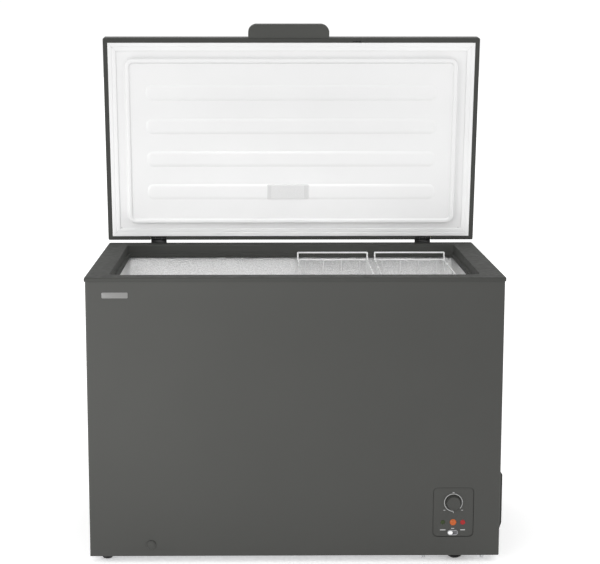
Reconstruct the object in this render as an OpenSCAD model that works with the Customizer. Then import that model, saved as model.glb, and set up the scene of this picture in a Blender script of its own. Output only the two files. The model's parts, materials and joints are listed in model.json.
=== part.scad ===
// Chest freezer with a hinged lid, two lift-out wire baskets and a compressor bay.
// Millimetres, +Z up, floor at z = 0. The lid is drawn open; x points right, y points back.

/* [Cabinet] */
// Width of the painted steel shell
body_w = 1122; // [1104:1:1150]
// Depth of the painted steel shell
body_d = 610; // [605:5:640]
// Height of the shell's lower edge above the floor
base_z = 20; // [20:1:22]
// Height of the collar's top face above the floor
collar_z = 795; // [786:1:800]
// Thickness of the sheet metal
sheet = 1; // [0.8:0.1:1]
// Insulated wall at the left and right, from the shell to the cavity
side_wall = 67; // [64:0.5:69]
// Insulated wall at the front and back, from the shell to the cavity
front_wall = 54.5; // [52:0.5:57]
// Depth of the foam under the cavity floor
floor_wall = 62; // [58:1:70]

/* [Lid] */
// How far the lid stands open
lid_open = 84; // [0:1:85]
// Thickness of the lid, from its rim to its top face
lid_t = 55; // [52:1:60]
// How far the lid stands out beyond the shell at each side
lid_over = 4.5; // [4:0.5:5]
// Width of the handle
handle_w = 243; // [200:1:260]
// How far the handle stands out from the lid's front edge
handle_out = 44.5; // [34:0.5:45]

/* [Machine bay] */
// Width of the compressor bay at the right, under the step
bay_w = 270.5; // [266:0.5:273]
// Height of the bay's roof above the floor
bay_top = 291; // [288:1:296]
// Height of the step inside the cavity
step_z = 345; // [342:1:352]

/* [Baskets] */
// Width of one basket
basket_w = 218; // [208:1:220]
// Height of the basket, from its floor to its rim
basket_h = 186; // [160:2:190]
// Diameter of the rim and hanger wire
rim_wire = 5; // [4.6:0.1:5]
// Diameter of the grille wire
grille_wire = 3; // [2.6:0.1:3]

/* [Controls] */
// Diameter of the thermostat knob
knob_d = 39; // [36:1:44]
// Width of the control panel
panel_w = 110; // [106:1:116]
// Height of the control panel
panel_h = 138; // [132:1:142]

/* [Feet and rollers] */
// Diameter of the two fixed feet
foot_d = 28; // [24:1:34]
// Radius of the two rollers
roller_r = 28; // [26:1:29]

/* [Hidden] */

$fn = 48;

// Colours
steel_grey = [0.27, 0.27, 0.255];
trim_grey = [0.23, 0.23, 0.22];
white = [0.93, 0.93, 0.93];
foam_cream = [0.93, 0.87, 0.68];
bare_alu = [0.8, 0.8, 0.79];
copper = [0.72, 0.42, 0.28];
zinc = [0.65, 0.66, 0.66];
black = [0.08, 0.08, 0.08];

// Shell, collar and cavity, as half sizes about the cabinet's own centre
hw = body_w / 2;
hd = body_d / 2;
fold_r = 4;
return_w = 20;
collar_lip = 3;
collar_wall = 3;
lip_h = 10.5;
cav_x = hw - side_wall;
cav_y = hd - front_wall;
mouth_step = 7;
mouth_x = cav_x + mouth_step;
mouth_y = cav_y + mouth_step;
mouth_r = 18;
ledge_z = collar_z - 26;
collar_low_z = collar_z - 38;
liner_x = cav_x + 2;
liner_y = cav_y + 2;
floor_z = base_z + floor_wall;
liner_top_z = collar_low_z + 7;
seam = 0.3;

// Step and machine bay
bay_x = hw - bay_w;
step_x = bay_x - 57;
plate_z = base_z;
plate_t = 2;

// Lid, drawn closed in the cabinet's frame and then opened about the hinge pins
lid_hw = hw + lid_over;
lid_hd = hd + lid_over + 2.5;
rim_z = collar_z + 2;
lid_top = rim_z + lid_t;
pin_in = 3;
pivot_y = lid_hd - pin_in;
pivot_z = rim_z + 11;
frame_h = 20;
frame_t = 3;
rim_side = 13.5;
rim_rear = 12;
rim_front = 13.5;
lid_r = 4;
frame_inner_r = 10;
inner_x = lid_hw - rim_side;
inner_y0 = -lid_hd + rim_front;
inner_y1 = lid_hd - rim_rear;
gasket_w = 25;
gasket_z = collar_z + 0.5;
plug_x = mouth_x - 1.5;
plug_y0 = -mouth_y + 5;
plug_y1 = mouth_y - 3;
plug_face_z = rim_z - 16;
plug_low_z = rim_z - 20;
bead_w = 12.5;
liner_t = 2;
rib_y = [132, 234, 334.5, 437];
rib_d = 50;
rib_x = 440;
lamp_x = [-73, 53];
lamp_y = [lid_hd - 180, lid_hd - 134];
handle_x = -8.5;
handle_z = [rim_z + 2, rim_z + 46];
handle_wall = 3.5;
handle_crown = 5;

// Lock in the lid's front edge
lock_x = 190;
lock_z = pivot_z - 1;
lock_r = 6.5;
cam_l = 19;
cam_w = 7;
cam_y = -lid_hd + 9.1;
cam_t = 3;

// Hinges
hinge_x = 410;
hinge_w = 48;
knuckle_r = 6;
knuckle_w = 19.2;
pin_r = 3;
run_gap = 0.05;
notch_hw = 25;
notch_d = 7;
housing_y = hd + 25;
housing_z = [collar_z - 129, collar_z - 13];
spring_turns = 9;
spring_r = 7;
spring_wire = 2.4;
spring_h = 90;
hinge_screw_x = 16;

// Baskets
basket_x = [18, 254];
basket_hl = cav_y - 3;
post_n = 9;
post_span = basket_hl - 24;
end_post_n = 4;
end_post_in = 25;
rim_z_basket = ledge_z - 19;
hanger_z = ledge_z + rim_wire / 2;
hanger_y = cav_y + 1.3;
basket_floor = rim_z_basket - basket_h;
wall_inset = rim_wire + grille_wire / 2 + 0.2;
rail_step = grille_wire - 0.4;

// Control panel and its pieces, in the machine bay's front
panel_x = hw - 127.5;
panel_z = 142.5;
panel_r = 12;
panel_sink = 1.2;
knob_z = 169.5;
knob_out = 10;
lamp_z = 113.5;
switch_z = 84;
switch_x = panel_x - 0.7;
lamp_x_green = panel_x - 28;
lamp_x_red = panel_x + 26.5;
lamp_r_green = 6;
lamp_r_amber = 9;
lamp_r_red = 7;

// Drain through the cabinet's floor and front
drain_x = -393;
drain_z = 52;
drain_y = -200;
drain_r = 6;
drain_wall = 2;
elbow = 10;
outlet_r = 8.9;
outlet_flange_r = 13;
cap_r = 12.5;
stopper_r = 15;
stopper_stem_r = drain_r - 0.8;

// Feet and rollers
foot_x = hw - 43;
foot_y = hd - 45.5;
roller_x = hw - 117;
roller_y = hd - 37.5;
roller_w = 22;
axle_r = 4;
bracket_hw = 14;
bracket_t = 3;
bracket_y = roller_w / 2 + 1;

// Machine bay: compressor, pipes, openings and fixings
comp_x = hw - 128.5;
comp_y = 110;
comp_r = 78;
grommet_h = 14;
grommet_r = 9;
mount_hole_r = 3.5;
mount_spots = [for (sx = [-1, 1], sy = [-1, 1]) [comp_x + 62 * sx, comp_y + 78 * sy]];
comp_foot_z = plate_z + plate_t + grommet_h;
stub_x = 30;
stub_z = comp_foot_z + 96;
stub_y = comp_y - comp_r - 14;
drier_x = bay_x + 26;
drier_z = 200;
screw_x = [hw - 205.5, hw - 46];
screw_y = hd - 12;
gland_x = hw - 63.5;
gland_z = 60;
gland_bore_r = 4;
gland_neck_r = 7;
vent_y = [-235, 150];
vent_z = [42, 237];
vent_out = 17.5;
vent_slot_n = 7;
vent_slot_pitch = 18;
vent_slot_z = 96;
louvre_n = 7;
louvre_pitch = 22;
louvre_z = 100;
slot_h = 6;

// Coils in the foam, outside the cavity and inside the shell
evap_turns = 6;
evap_d = 8;
evap_pitch = 55;
evap_bend = 10;
evap_gap = 2;
cond_turns = 7;
cond_d = 5;
cond_pitch = 58;
cond_bend = 14;
cond_gap = 0.4;

// The cabinet's centre, set so that the open freezer stands centred over the origin
rear_reach = pivot_y + (lid_top - pivot_z) * sin(lid_open);
front_reach = hd - panel_sink + knob_out;
cab_y = -round((rear_reach - front_reach) / 2);

// ---------- helpers ----------

// Outline of a rectangle with rounded corners, as points; n steps in each corner
function round_rect(w, d, r, n = 6) = [
    for (q = [0 : 3], i = [0 : n])
        let (a = 90 * q + 90 * i / n, sx = (q == 0 || q == 3) ? 1 : -1, sy = q < 2 ? 1 : -1)
        [sx * (w / 2 - r) + r * cos(a), sy * (d / 2 - r) + r * sin(a)]
];

module slab(lo, hi) {
    translate(lo) cube(hi - lo);
}

// Block with rounded upright edges, standing on z0
module post(w, d, r, z0, z1) {
    translate([0, 0, z0]) linear_extrude(z1 - z0) polygon(round_rect(w, d, r));
}

// Ring between two rounded rectangles given by their half sizes
module ring(outer, inner, r_out, r_in, z0, z1) {
    difference() {
        post(2 * outer.x, 2 * outer.y, r_out, z0, z1);
        post(2 * inner.x, 2 * inner.y, r_in, z0 - 1, z1 + 1);
    }
}

// Plate that faces the front: its outline lies in x and z, and it runs from y0 back to y1
module front_plate(w, h, r, x, z, y0, y1) {
    translate([x, y1, z]) rotate([90, 0, 0]) linear_extrude(y1 - y0) polygon(round_rect(w, h, r));
}

// Round bar along y, along z and along x
module bar_y(r, x, z, y0, y1) {
    translate([x, y1, z]) rotate([90, 0, 0]) cylinder(r = r, h = y1 - y0);
}

module bar_z(r, x, y, z0, z1) {
    translate([x, y, z0]) cylinder(r = r, h = z1 - z0);
}

module bar_x(r, y, z, x0, x1) {
    translate([x0, y, z]) rotate([0, 90, 0]) cylinder(r = r, h = x1 - x0);
}

module at_cabinet() {
    translate([0, cab_y, 0]) children();
}

module at_lid() {
    translate([0, cab_y + pivot_y, pivot_z])
        rotate([-lid_open, 0, 0])
        translate([0, -pivot_y, -pivot_z])
        children();
}

function unit(v) = v / norm(v);
function clamp_i(i, n) = min(max(i, 0), n);

// Tube of diameter d along the points of path; wrap joins its last ring to its first
module tube(path, d, sides = 8, wrap = false) {
    n = len(path);
    dirs = [for (i = [0 : n - 1])
        let (a = wrap ? path[(i + n - 1) % n] : path[clamp_i(i - 1, n - 1)],
             b = wrap ? path[(i + 1) % n] : path[clamp_i(i + 1, n - 1)])
        unit(b - a)];
    rings = [for (i = [0 : n - 1])
        let (t = dirs[i],
             up = abs(t.z) > 0.9 ? [0.6, 0.8, 0] : [0, 0, 1],
             s = unit(cross(up, t)),
             u = cross(t, s))
        [for (k = [0 : sides - 1])
            let (a = 360 * (k + 0.5) / sides)
            path[i] + (d / 2) * (cos(a) * s + sin(a) * u)]];
    pts = [for (r = rings, p = r) p];
    last = wrap ? n - 1 : n - 2;
    quads = [for (i = [0 : last], k = [0 : sides - 1])
        let (j = (i + 1) % n, m = (k + 1) % sides)
        [i * sides + k, i * sides + m, j * sides + m, j * sides + k]];
    caps = wrap ? [] : [
        [for (k = [0 : sides - 1]) k],
        [for (k = [sides - 1 : -1 : 0]) (n - 1) * sides + k]
    ];
    walls = [for (q = quads) each [[q[3], q[2], q[1]], [q[3], q[1], q[0]]]];
    polyhedron(pts, concat(walls, caps));
}

// Points of a flat rounded loop at height z0, rising by pitch over one turn
function loop(hx, hy, r, z0, pitch, n = 3) = [
    for (q = [0 : 3], i = [0 : n])
        let (a = 90 * q + 90 * i / n, sx = (q == 0 || q == 3) ? 1 : -1, sy = q < 2 ? 1 : -1)
        [sx * (hx - r) + r * cos(a), sy * (hy - r) + r * sin(a), z0 + pitch * (q + i / n) / 4]
];

// ---------- shell ----------

module shell_band() {
    difference() {
        post(body_w, body_d, fold_r, base_z, collar_z - collar_wall);
        post(body_w - 2 * sheet, body_d - 2 * sheet, fold_r - sheet, base_z - 1, collar_z);
    }
}

module front_panel() {
    color(steel_grey) at_cabinet() difference() {
        intersection() {
            shell_band();
            slab([-hw - 1, -hd - 1, 0], [hw + 1, -hd + return_w, collar_z]);
        }
        front_plate(panel_w + 1.6, panel_h + 1.6, panel_r + 0.8, panel_x, panel_z, -hd - 1, -hd + 2);
        bar_y(9, drain_x, drain_z, -hd - 1, -hd + 2);
    }
}

module side_panel(side) {
    intersection() {
        shell_band();
        slab([side < 0 ? -hw - 1 : hw - 3, -hd + return_w, 0],
             [side < 0 ? -hw + 3 : hw + 1, hd - return_w, collar_z]);
    }
}

module left_side_panel() {
    color(steel_grey) at_cabinet() side_panel(-1);
}

module right_side_panel() {
    color(steel_grey) at_cabinet() difference() {
        side_panel(1);
        slab([hw - 5, vent_y[0] + 15, vent_z[0] + 25], [hw + 5, vent_y[1] - 15, vent_z[1] - 20]);
    }
}

module rear_panel() {
    color(steel_grey) at_cabinet() difference() {
        intersection() {
            shell_band();
            slab([-hw - 1, hd - return_w, 0], [hw + 1, hd + 1, collar_z]);
        }
        for (i = [0 : louvre_n - 1])
            translate([0, 0, louvre_z + louvre_pitch * i])
                slab([bay_x + 35, hd - 2, 0], [hw - 50, hd + 1, slot_h]);
        bar_y(gland_neck_r, gland_x, gland_z, hd - 2, hd + 1);
    }
}

module base_panel() {
    color(zinc) at_cabinet()
        slab([-hw + sheet, -hd + sheet, base_z], [bay_x - 1, hd - sheet, base_z + sheet]);
}

module bay_shroud() {
    color(zinc) at_cabinet() {
        slab([bay_x - 1, -hd + sheet, base_z], [bay_x, hd - sheet, bay_top - sheet - seam]);
        slab([bay_x - 1, -hd + sheet, bay_top - sheet], [hw - sheet, hd - sheet, bay_top]);
    }
}

module body_insulation() {
    color(foam_cream) at_cabinet() difference() {
        post(body_w - 2 * sheet, body_d - 2 * sheet, fold_r - sheet, base_z + sheet,
             collar_z - collar_wall);
        slab([-liner_x - sheet, -liner_y - sheet, floor_z],
             [step_x + sheet, liner_y + sheet, collar_z + 1]);
        slab([-liner_x - sheet, -liner_y - sheet, step_z - sheet],
             [liner_x + sheet, liner_y + sheet, collar_z + 1]);
        slab([-mouth_x - collar_wall, -mouth_y - collar_wall, ledge_z - collar_wall],
             [mouth_x + collar_wall, mouth_y + collar_wall, collar_z + 1]);
        slab([bay_x - 1, -hd, 0], [hw, hd, bay_top]);
        slab([lock_x - 12, -hd, collar_z - 18], [lock_x + 28, cam_y + 10, collar_z]);
        bar_y(drain_r, drain_x, drain_z, -hd, drain_y);
        bar_z(drain_r - 0.5, drain_x, drain_y, drain_z, floor_z + 1);
    }
}

// ---------- liner ----------

module liner_walls() {
    color(bare_alu) at_cabinet() {
        low = floor_z + sheet + seam;
        slab([-liner_x - sheet, -liner_y + seam, low], [-liner_x, liner_y - seam, liner_top_z]);
        slab([liner_x, -liner_y + seam, step_z + seam], [liner_x + sheet, liner_y - seam, liner_top_z]);
        for (s = [-1, 1])
            difference() {
                slab([-liner_x, s * (liner_y + sheet / 2) - sheet / 2, low],
                     [liner_x, s * (liner_y + sheet / 2) + sheet / 2, liner_top_z]);
                slab([step_x + sheet, -hd, 0], [hw, hd, step_z]);
            }
        slab([step_x, -liner_y + seam, low], [step_x + sheet, liner_y - seam, step_z - sheet - seam]);
    }
}

module liner_floor() {
    color(bare_alu) at_cabinet() {
        difference() {
            slab([-liner_x, -liner_y, floor_z], [step_x, liner_y, floor_z + sheet]);
            bar_z(9, drain_x, drain_y, floor_z - 1, floor_z + 2);
        }
        slab([step_x, -liner_y, step_z - sheet], [liner_x, liner_y, step_z]);
    }
}

module evaporator_coil() {
    color(copper) at_cabinet()
        tube([for (t = [0 : evap_turns - 1])
                each loop(liner_x + sheet + evap_d / 2 + evap_gap, liner_y + sheet + evap_d / 2 + evap_gap,
                          evap_bend, step_z + 30 + evap_pitch * t, evap_pitch)], evap_d);
}

module condenser_coil() {
    color(copper) at_cabinet()
        tube([for (t = [0 : cond_turns - 1])
                each loop(hw - sheet - cond_d / 2 - cond_gap, hd - sheet - cond_d / 2 - cond_gap,
                          cond_bend, bay_top + 40 + cond_pitch * t, cond_pitch)], cond_d);
}

// ---------- collar ----------

module top_collar() {
    color(trim_grey) at_cabinet() difference() {
        union() {
            ring([hw + collar_lip, hd + collar_lip], [mouth_x, mouth_y], 6, mouth_r,
                 collar_z - collar_wall, collar_z);
            ring([hw + collar_lip, hd + collar_lip], [hw, hd], 6, fold_r,
                 collar_z - lip_h, collar_z - collar_wall);
            ring([mouth_x + collar_wall, mouth_y + collar_wall], [mouth_x, mouth_y],
                 mouth_r + collar_wall, mouth_r, ledge_z, collar_z - collar_wall);
            ring([mouth_x + collar_wall, mouth_y + collar_wall], [cav_x, cav_y],
                 mouth_r + collar_wall, mouth_r - mouth_step, ledge_z - collar_wall, ledge_z);
            ring([liner_x, liner_y], [cav_x, cav_y], mouth_r - 5, mouth_r - mouth_step,
                 collar_low_z, ledge_z - collar_wall);
        }
        slab([lock_x - 7, cam_y - 0.6, collar_z - 5],
             [lock_x + cam_l + 3.5, cam_y + cam_t + 1.2, collar_z + 1]);
    }
}

// ---------- control panel ----------

module panel_holes(y0, y1) {
    bar_y(axle_r + 0.05, panel_x, knob_z, y0, y1);
    bar_y(lamp_r_green, lamp_x_green, lamp_z, y0, y1);
    bar_y(lamp_r_amber, panel_x, lamp_z, y0, y1);
    bar_y(lamp_r_red, lamp_x_red, lamp_z, y0, y1);
    front_plate(29.5, 15.5, 7.5, switch_x, switch_z, y0, y1);
}

module control_panel() {
    color(steel_grey) at_cabinet() difference() {
        union() {
            front_plate(panel_w, panel_h, panel_r, panel_x, panel_z, -hd + panel_sink, -hd + 4);
            front_plate(panel_w + 16, panel_h + 16, panel_r + 8, panel_x, panel_z, -hd + 4, -hd + 6);
        }
        panel_holes(-hd, -hd + 8);
        // Round dish that the knob turns in
        bar_y(knob_d / 2 + 1.2, panel_x, knob_z, -hd, -hd + 3);
    }
}

module lens(r, x) {
    at_cabinet() {
        bar_y(r - 0.1, x, lamp_z, -hd, -hd + 7);
        bar_y(r + 2, x, lamp_z, -hd + 6, -hd + 9);
    }
}

module green_lamp_lens() {
    color([0.16, 0.24, 0.05]) lens(lamp_r_green, lamp_x_green);
}

module amber_lamp_lens() {
    color([0.85, 0.4, 0.15]) lens(lamp_r_amber, panel_x);
}

module red_lamp_lens() {
    color([0.75, 0.08, 0.1]) lens(lamp_r_red, lamp_x_red);
}

module switch_housing() {
    color([0.55, 0.55, 0.56]) at_cabinet() difference() {
        front_plate(29, 15, 7.3, switch_x, switch_z, -hd + 0.6, -hd + 16);
        front_plate(26, 11, 5.4, switch_x, switch_z, -hd - 1, -hd + 10);
    }
}

module switch_slider() {
    color(white) at_cabinet()
        front_plate(13, 10, 4.8, switch_x - 6.3, switch_z, -hd - 0.6, -hd + 9.5);
}

module thermostat_body() {
    color(zinc) at_cabinet() difference() {
        slab([panel_x - 24, -hd + 6.5, knob_z - 20], [panel_x + 24, -hd + 42, knob_z + 20]);
        bar_y(axle_r + 0.05, panel_x, knob_z, -hd, -hd + 34);
    }
}

module thermostat_knob() {
    color(steel_grey) at_cabinet() difference() {
        union() {
            bar_y(knob_d / 2, panel_x, knob_z, -hd + 0.4, -hd + 2.6);
            bar_y(knob_d / 2 - 1, panel_x, knob_z, -hd + panel_sink - knob_out, -hd + 0.4);
        }
        // Pointer groove at the knob's lower edge
        slab([panel_x - 0.8, -hd - knob_out, knob_z - knob_d / 2],
             [panel_x + 0.8, -hd - knob_out + 2, knob_z - 6]);
        bar_y(axle_r, panel_x, knob_z, -hd - 4, -hd + 4);
    }
}

module thermostat_shaft() {
    color(zinc) at_cabinet() bar_y(axle_r, panel_x, knob_z, -hd - 4, -hd + 33);
}

module badge_plate() {
    color([0.7, 0.7, 0.7]) at_cabinet()
        front_plate(70, 16, 3, -hw + 79, collar_z - 47.5, -hd - 0.8, -hd);
}

module side_vent_cover() {
    prof = [[0, vent_z[0]], [6, vent_z[0] + 8], [vent_out, vent_z[0] + 45],
            [vent_out, vent_z[1] - 12], [vent_out - 8, vent_z[1]], [0, vent_z[1]]];
    core = [[-1, vent_z[0] + 10], [4, vent_z[0] + 12], [vent_out - 2, vent_z[0] + 46],
            [vent_out - 2, vent_z[1] - 13], [-1, vent_z[1] - 13]];
    color(trim_grey) at_cabinet() translate([hw, 0, 0]) difference() {
        translate([0, vent_y[1], 0]) rotate([90, 0, 0])
            linear_extrude(vent_y[1] - vent_y[0]) polygon(prof);
        translate([0, vent_y[1] - 2, 0]) rotate([90, 0, 0])
            linear_extrude(vent_y[1] - vent_y[0] - 4) polygon(core);
        for (i = [0 : vent_slot_n - 1])
            translate([0, 0, vent_slot_z + vent_slot_pitch * i])
                slab([vent_out - 4, vent_y[0] + 25, 0], [vent_out + 1, vent_y[1] - 25, slot_h - 1]);
    }
}

// ---------- machine bay ----------

module roller_wells(z0, z1) {
    for (s = [-1, 1])
        slab([roller_x - roller_r - 4, s * roller_y - roller_w, z0],
             [roller_x + roller_r + 4, s * roller_y + roller_w, z1]);
}

module compressor_plate() {
    color(zinc) at_cabinet() difference() {
        slab([bay_x, -hd + sheet, plate_z], [hw - sheet, hd - sheet, plate_z + plate_t]);
        roller_wells(0, 50);
        for (x = screw_x, s = [-1, 1])
            bar_z(2.5, x, s * screw_y, 0, 50);
        for (p = mount_spots)
            bar_z(mount_hole_r, p.x, p.y, 0, 50);
    }
}

module compressor() {
    color(black) at_cabinet() {
        difference() {
            union() {
                translate([comp_x, comp_y, comp_foot_z + 2]) rotate_extrude($fn = 64)
                    polygon([[0, 0], [comp_r - 14, 0], [comp_r, 16], [comp_r, 92], [comp_r - 10, 118],
                             [comp_r - 34, 134], [0, 140]]);
                slab([comp_x - 74, comp_y - 90, comp_foot_z], [comp_x + 74, comp_y + 90, comp_foot_z + 3]);
                for (s = [-1, 1])
                    bar_y(4, comp_x + s * stub_x, stub_z, stub_y, comp_y - 50);
            }
            for (p = mount_spots)
                bar_z(mount_hole_r, p.x, p.y, comp_foot_z - 1, comp_foot_z + 4);
        }
    }
}

module compressor_grommets() {
    color(black) at_cabinet() for (p = mount_spots)
        difference() {
            bar_z(grommet_r, p.x, p.y, plate_z + plate_t, comp_foot_z);
            bar_z(mount_hole_r, p.x, p.y, plate_z, comp_foot_z + 10);
        }
}

// Bolts through the compressor's grommets, and the screws whose heads hang under the base
module bay_bolts() {
    grip = comp_foot_z + 3;
    color(zinc) at_cabinet() {
        for (p = mount_spots) {
            bar_z(3, p.x, p.y, plate_z - 2, grip);
            bar_z(6, p.x, p.y, grip, grip + 5);
        }
        for (x = screw_x, s = [-1, 1]) {
            bar_z(4.5, x, s * screw_y, plate_z - 10, plate_z);
            bar_z(2.4, x, s * screw_y, plate_z, plate_z + 12);
        }
    }
}

module start_relay_box() {
    color(black) at_cabinet()
        slab([comp_x - comp_r - 26, comp_y - 28, plate_z + 50],
             [comp_x - comp_r - 1, comp_y + 28, plate_z + 110]);
}

module filter_drier() {
    color(copper) at_cabinet() {
        bar_y(10, drier_x, drier_z, -70, 30);
        bar_y(3, drier_x, drier_z, -86, 46);
    }
}

module refrigerant_pipes() {
    y0 = stub_y;
    color(copper) at_cabinet() {
        tube([[comp_x - stub_x, y0, stub_z], [comp_x - stub_x, y0 - 30, stub_z],
              [comp_x - 36, y0 - 40, stub_z + 12],
              [comp_x - 36, y0 - 42, stub_z + 100], [comp_x - 36, y0 - 42, bay_top - 2]], 6);
        tube([[comp_x + stub_x, y0, stub_z], [comp_x + stub_x, y0 - 40, stub_z],
              [comp_x + 36, y0 - 52, stub_z + 12],
              [comp_x + 36, y0 - 54, stub_z + 100], [comp_x + 36, y0 - 54, bay_top - 2]], 8);
    }
}

module wiring_loom() {
    color(black) at_cabinet()
        tube([[panel_x - 10, -hd + 42.5, 150], [panel_x - 12, -250, 135], [panel_x - 60, -190, 110],
              [comp_x - comp_r - 14, -60, 96], [comp_x - comp_r - 14, comp_y - 40, 92],
              [comp_x - comp_r - 14, comp_y - 28.5, 92]], 7);
}

module cord_gland() {
    color(black) at_cabinet() difference() {
        union() {
            bar_y(11, gland_x, gland_z, hd, hd + 3);
            bar_y(gland_neck_r, gland_x, gland_z, hd - 1, hd);
            bar_y(10, gland_x, gland_z, hd - 6, hd - 1);
        }
        bar_y(gland_bore_r, gland_x, gland_z, hd - 10, hd + 5);
    }
}

// ---------- feet and rollers ----------

module foot_pads() {
    color(black) at_cabinet() for (s = [-1, 1]) {
        bar_z(foot_d / 2, -foot_x, s * foot_y, 0, 14);
        bar_z(foot_d / 2 - 3, -foot_x, s * foot_y, 13, base_z);
    }
}

module roller_brackets() {
    color(zinc) at_cabinet() for (s = [-1, 1], t = [-1, 1])
        difference() {
            translate([roller_x, s * roller_y + t * (bracket_y + bracket_t / 2), 0])
                slab([-bracket_hw, -bracket_t / 2, plate_z],
                     [bracket_hw, bracket_t / 2, 2 * roller_r + 6]);
            bar_y(axle_r, roller_x, roller_r, s * roller_y - 30, s * roller_y + 30);
        }
}

module roller_axles() {
    color(zinc) at_cabinet() for (s = [-1, 1])
        bar_y(axle_r, roller_x, roller_r, s * roller_y - bracket_y - 4, s * roller_y + bracket_y + 4);
}

module roller(side) {
    color(black) at_cabinet() difference() {
        bar_y(roller_r, roller_x, roller_r, side * roller_y - roller_w / 2,
              side * roller_y + roller_w / 2);
        bar_y(axle_r + run_gap, roller_x, roller_r, side * roller_y - 30, side * roller_y + 30);
    }
}

module front_roller() {
    roller(-1);
}

module rear_roller() {
    roller(1);
}

// ---------- drain ----------

module drain_tube() {
    color(white) at_cabinet() difference() {
        union() {
            translate([drain_x, drain_y, drain_z]) slab([-elbow, -elbow, -elbow], [elbow, elbow, elbow]);
            bar_y(drain_r + drain_wall, drain_x, drain_z, -hd + 4, drain_y);
            bar_z(drain_r + drain_wall, drain_x, drain_y, drain_z, floor_z);
        }
        bar_y(drain_r, drain_x, drain_z, -hd, drain_y);
        bar_z(drain_r - 0.5, drain_x, drain_y, drain_z, floor_z + 1);
    }
}

module drain_outlet() {
    color(trim_grey) at_cabinet() difference() {
        union() {
            bar_y(outlet_r, drain_x, drain_z, -hd + 0.2, -hd + 4);
            bar_y(outlet_flange_r, drain_x, drain_z, -hd + sheet, -hd + 4);
        }
        bar_y(drain_r, drain_x, drain_z, -hd - 1, -hd + 5);
    }
}

module drain_cap() {
    color(steel_grey) at_cabinet() {
        bar_y(cap_r, drain_x, drain_z, -hd - 3.8, -hd - 0.3);
        bar_y(drain_r - 0.3, drain_x, drain_z, -hd - 1, -hd + 24);
    }
}

module drain_stopper() {
    color(white) at_cabinet() {
        bar_z(stopper_r, drain_x, drain_y, floor_z + sheet + 0.3, floor_z + sheet + 5);
        bar_z(stopper_stem_r, drain_x, drain_y, floor_z - 16, floor_z + sheet + 2);
        bar_z(4, drain_x, drain_y, floor_z + sheet + 4, floor_z + sheet + 12);
    }
}

// ---------- hinges ----------

module hinge_housings() {
    color(black) at_cabinet() for (s = [-1, 1]) translate([s * hinge_x, 0, 0]) difference() {
        union() {
            slab([-hinge_w / 2, hd, housing_z[0]], [hinge_w / 2, housing_y, housing_z[1]]);
            for (t = [-1, 1]) {
                x0 = t < 0 ? -hinge_w / 2 : knuckle_w / 2 + 0.4;
                x1 = t < 0 ? -knuckle_w / 2 - 0.4 : hinge_w / 2;
                slab([x0, hd + collar_lip + 0.4, housing_z[1] - 1], [x1, pivot_y + knuckle_r, pivot_z]);
                bar_x(knuckle_r, pivot_y, pivot_z, x0, x1);
            }
            // Web between the ears, under the leaf's knuckle
            slab([-hinge_w / 2, hd + collar_lip + 0.4, housing_z[1] - 1],
                 [hinge_w / 2, pivot_y + knuckle_r, pivot_z - knuckle_r - 0.7]);
            slab([-hinge_w / 2, hd, housing_z[0] - 11], [hinge_w / 2, hd + 3, housing_z[0] + 1]);
        }
        slab([-12, hd + 3, housing_z[0] + 3], [12, housing_y - 3, housing_z[1] - 3]);
        bar_x(pin_r, pivot_y, pivot_z, -30, 30);
        for (s = [-1, 1])
            bar_y(2.2, s * hinge_screw_x, housing_z[0] - 5.5, hd - 1, hd + 5);
    }
}

module hinge_pins() {
    color(zinc) at_cabinet() for (s = [-1, 1])
        bar_x(pin_r, pivot_y, pivot_z, s * hinge_x - hinge_w / 2 - 1, s * hinge_x + hinge_w / 2 + 1);
}

module hinge_springs() {
    yc = (hd + housing_y) / 2;
    color(zinc) at_cabinet() for (s = [-1, 1])
        tube([for (i = [0 : 10 * spring_turns])
                let (a = 36 * i)
                [s * hinge_x + spring_r * cos(a), yc + spring_r * sin(a),
                 housing_z[0] + 8 + spring_h * i / (10 * spring_turns)]], spring_wire, 6);
}

module hinge_screws() {
    z = housing_z[0] - 5.5;
    color(zinc) at_cabinet() for (s = [-1, 1], t = [-1, 1]) {
        x = s * hinge_x + t * hinge_screw_x;
        bar_y(4.2, x, z, hd + 3, hd + 5.5);
        bar_y(2.1, x, z, hd - 14, hd + 3);
    }
}

module lid_hinge_leaves() {
    color(black) at_lid() for (s = [-1, 1]) translate([s * hinge_x, 0, 0]) difference() {
        union() {
            bar_x(knuckle_r, pivot_y, pivot_z, -knuckle_w / 2, knuckle_w / 2);
            slab([-knuckle_w / 2, pivot_y, pivot_z], [knuckle_w / 2, lid_hd + 1, pivot_z + knuckle_r]);
            slab([-knuckle_w / 2, lid_hd, pivot_z], [knuckle_w / 2, lid_hd + 3, pivot_z + 12]);
            slab([-hinge_w / 2, lid_hd, pivot_z + knuckle_r + 1], [hinge_w / 2, lid_hd + 3, lid_top - 3]);
            for (x = [-15, 15], z = [18, 33])
                bar_y(3.5, x, pivot_z + z, lid_hd + 2, lid_hd + 4.6);
        }
        bar_x(pin_r + run_gap, pivot_y, pivot_z, -30, 30);
    }
}

// ---------- lid, drawn closed ----------

module hinge_notches() {
    for (s = [-1, 1])
        slab([s * hinge_x - notch_hw, pivot_y - notch_d, rim_z - 5],
             [s * hinge_x + notch_hw, pivot_y + 5, pivot_z + knuckle_r + 1]);
}

// Plate between x = -hx..hx and y0..y1, with rounded corners
module lid_block(hx, y0, y1, r, z0, z1) {
    translate([0, (y0 + y1) / 2, 0]) post(2 * hx, y1 - y0, r, z0, z1);
}

module lid_skin() {
    z0 = rim_z + frame_h;
    color(steel_grey) at_lid() difference() {
        post(2 * lid_hw, 2 * lid_hd, lid_r, z0, lid_top);
        post(2 * (lid_hw - sheet), 2 * (lid_hd - sheet), lid_r - sheet, z0 - 1, lid_top - sheet);
    }
}

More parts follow.
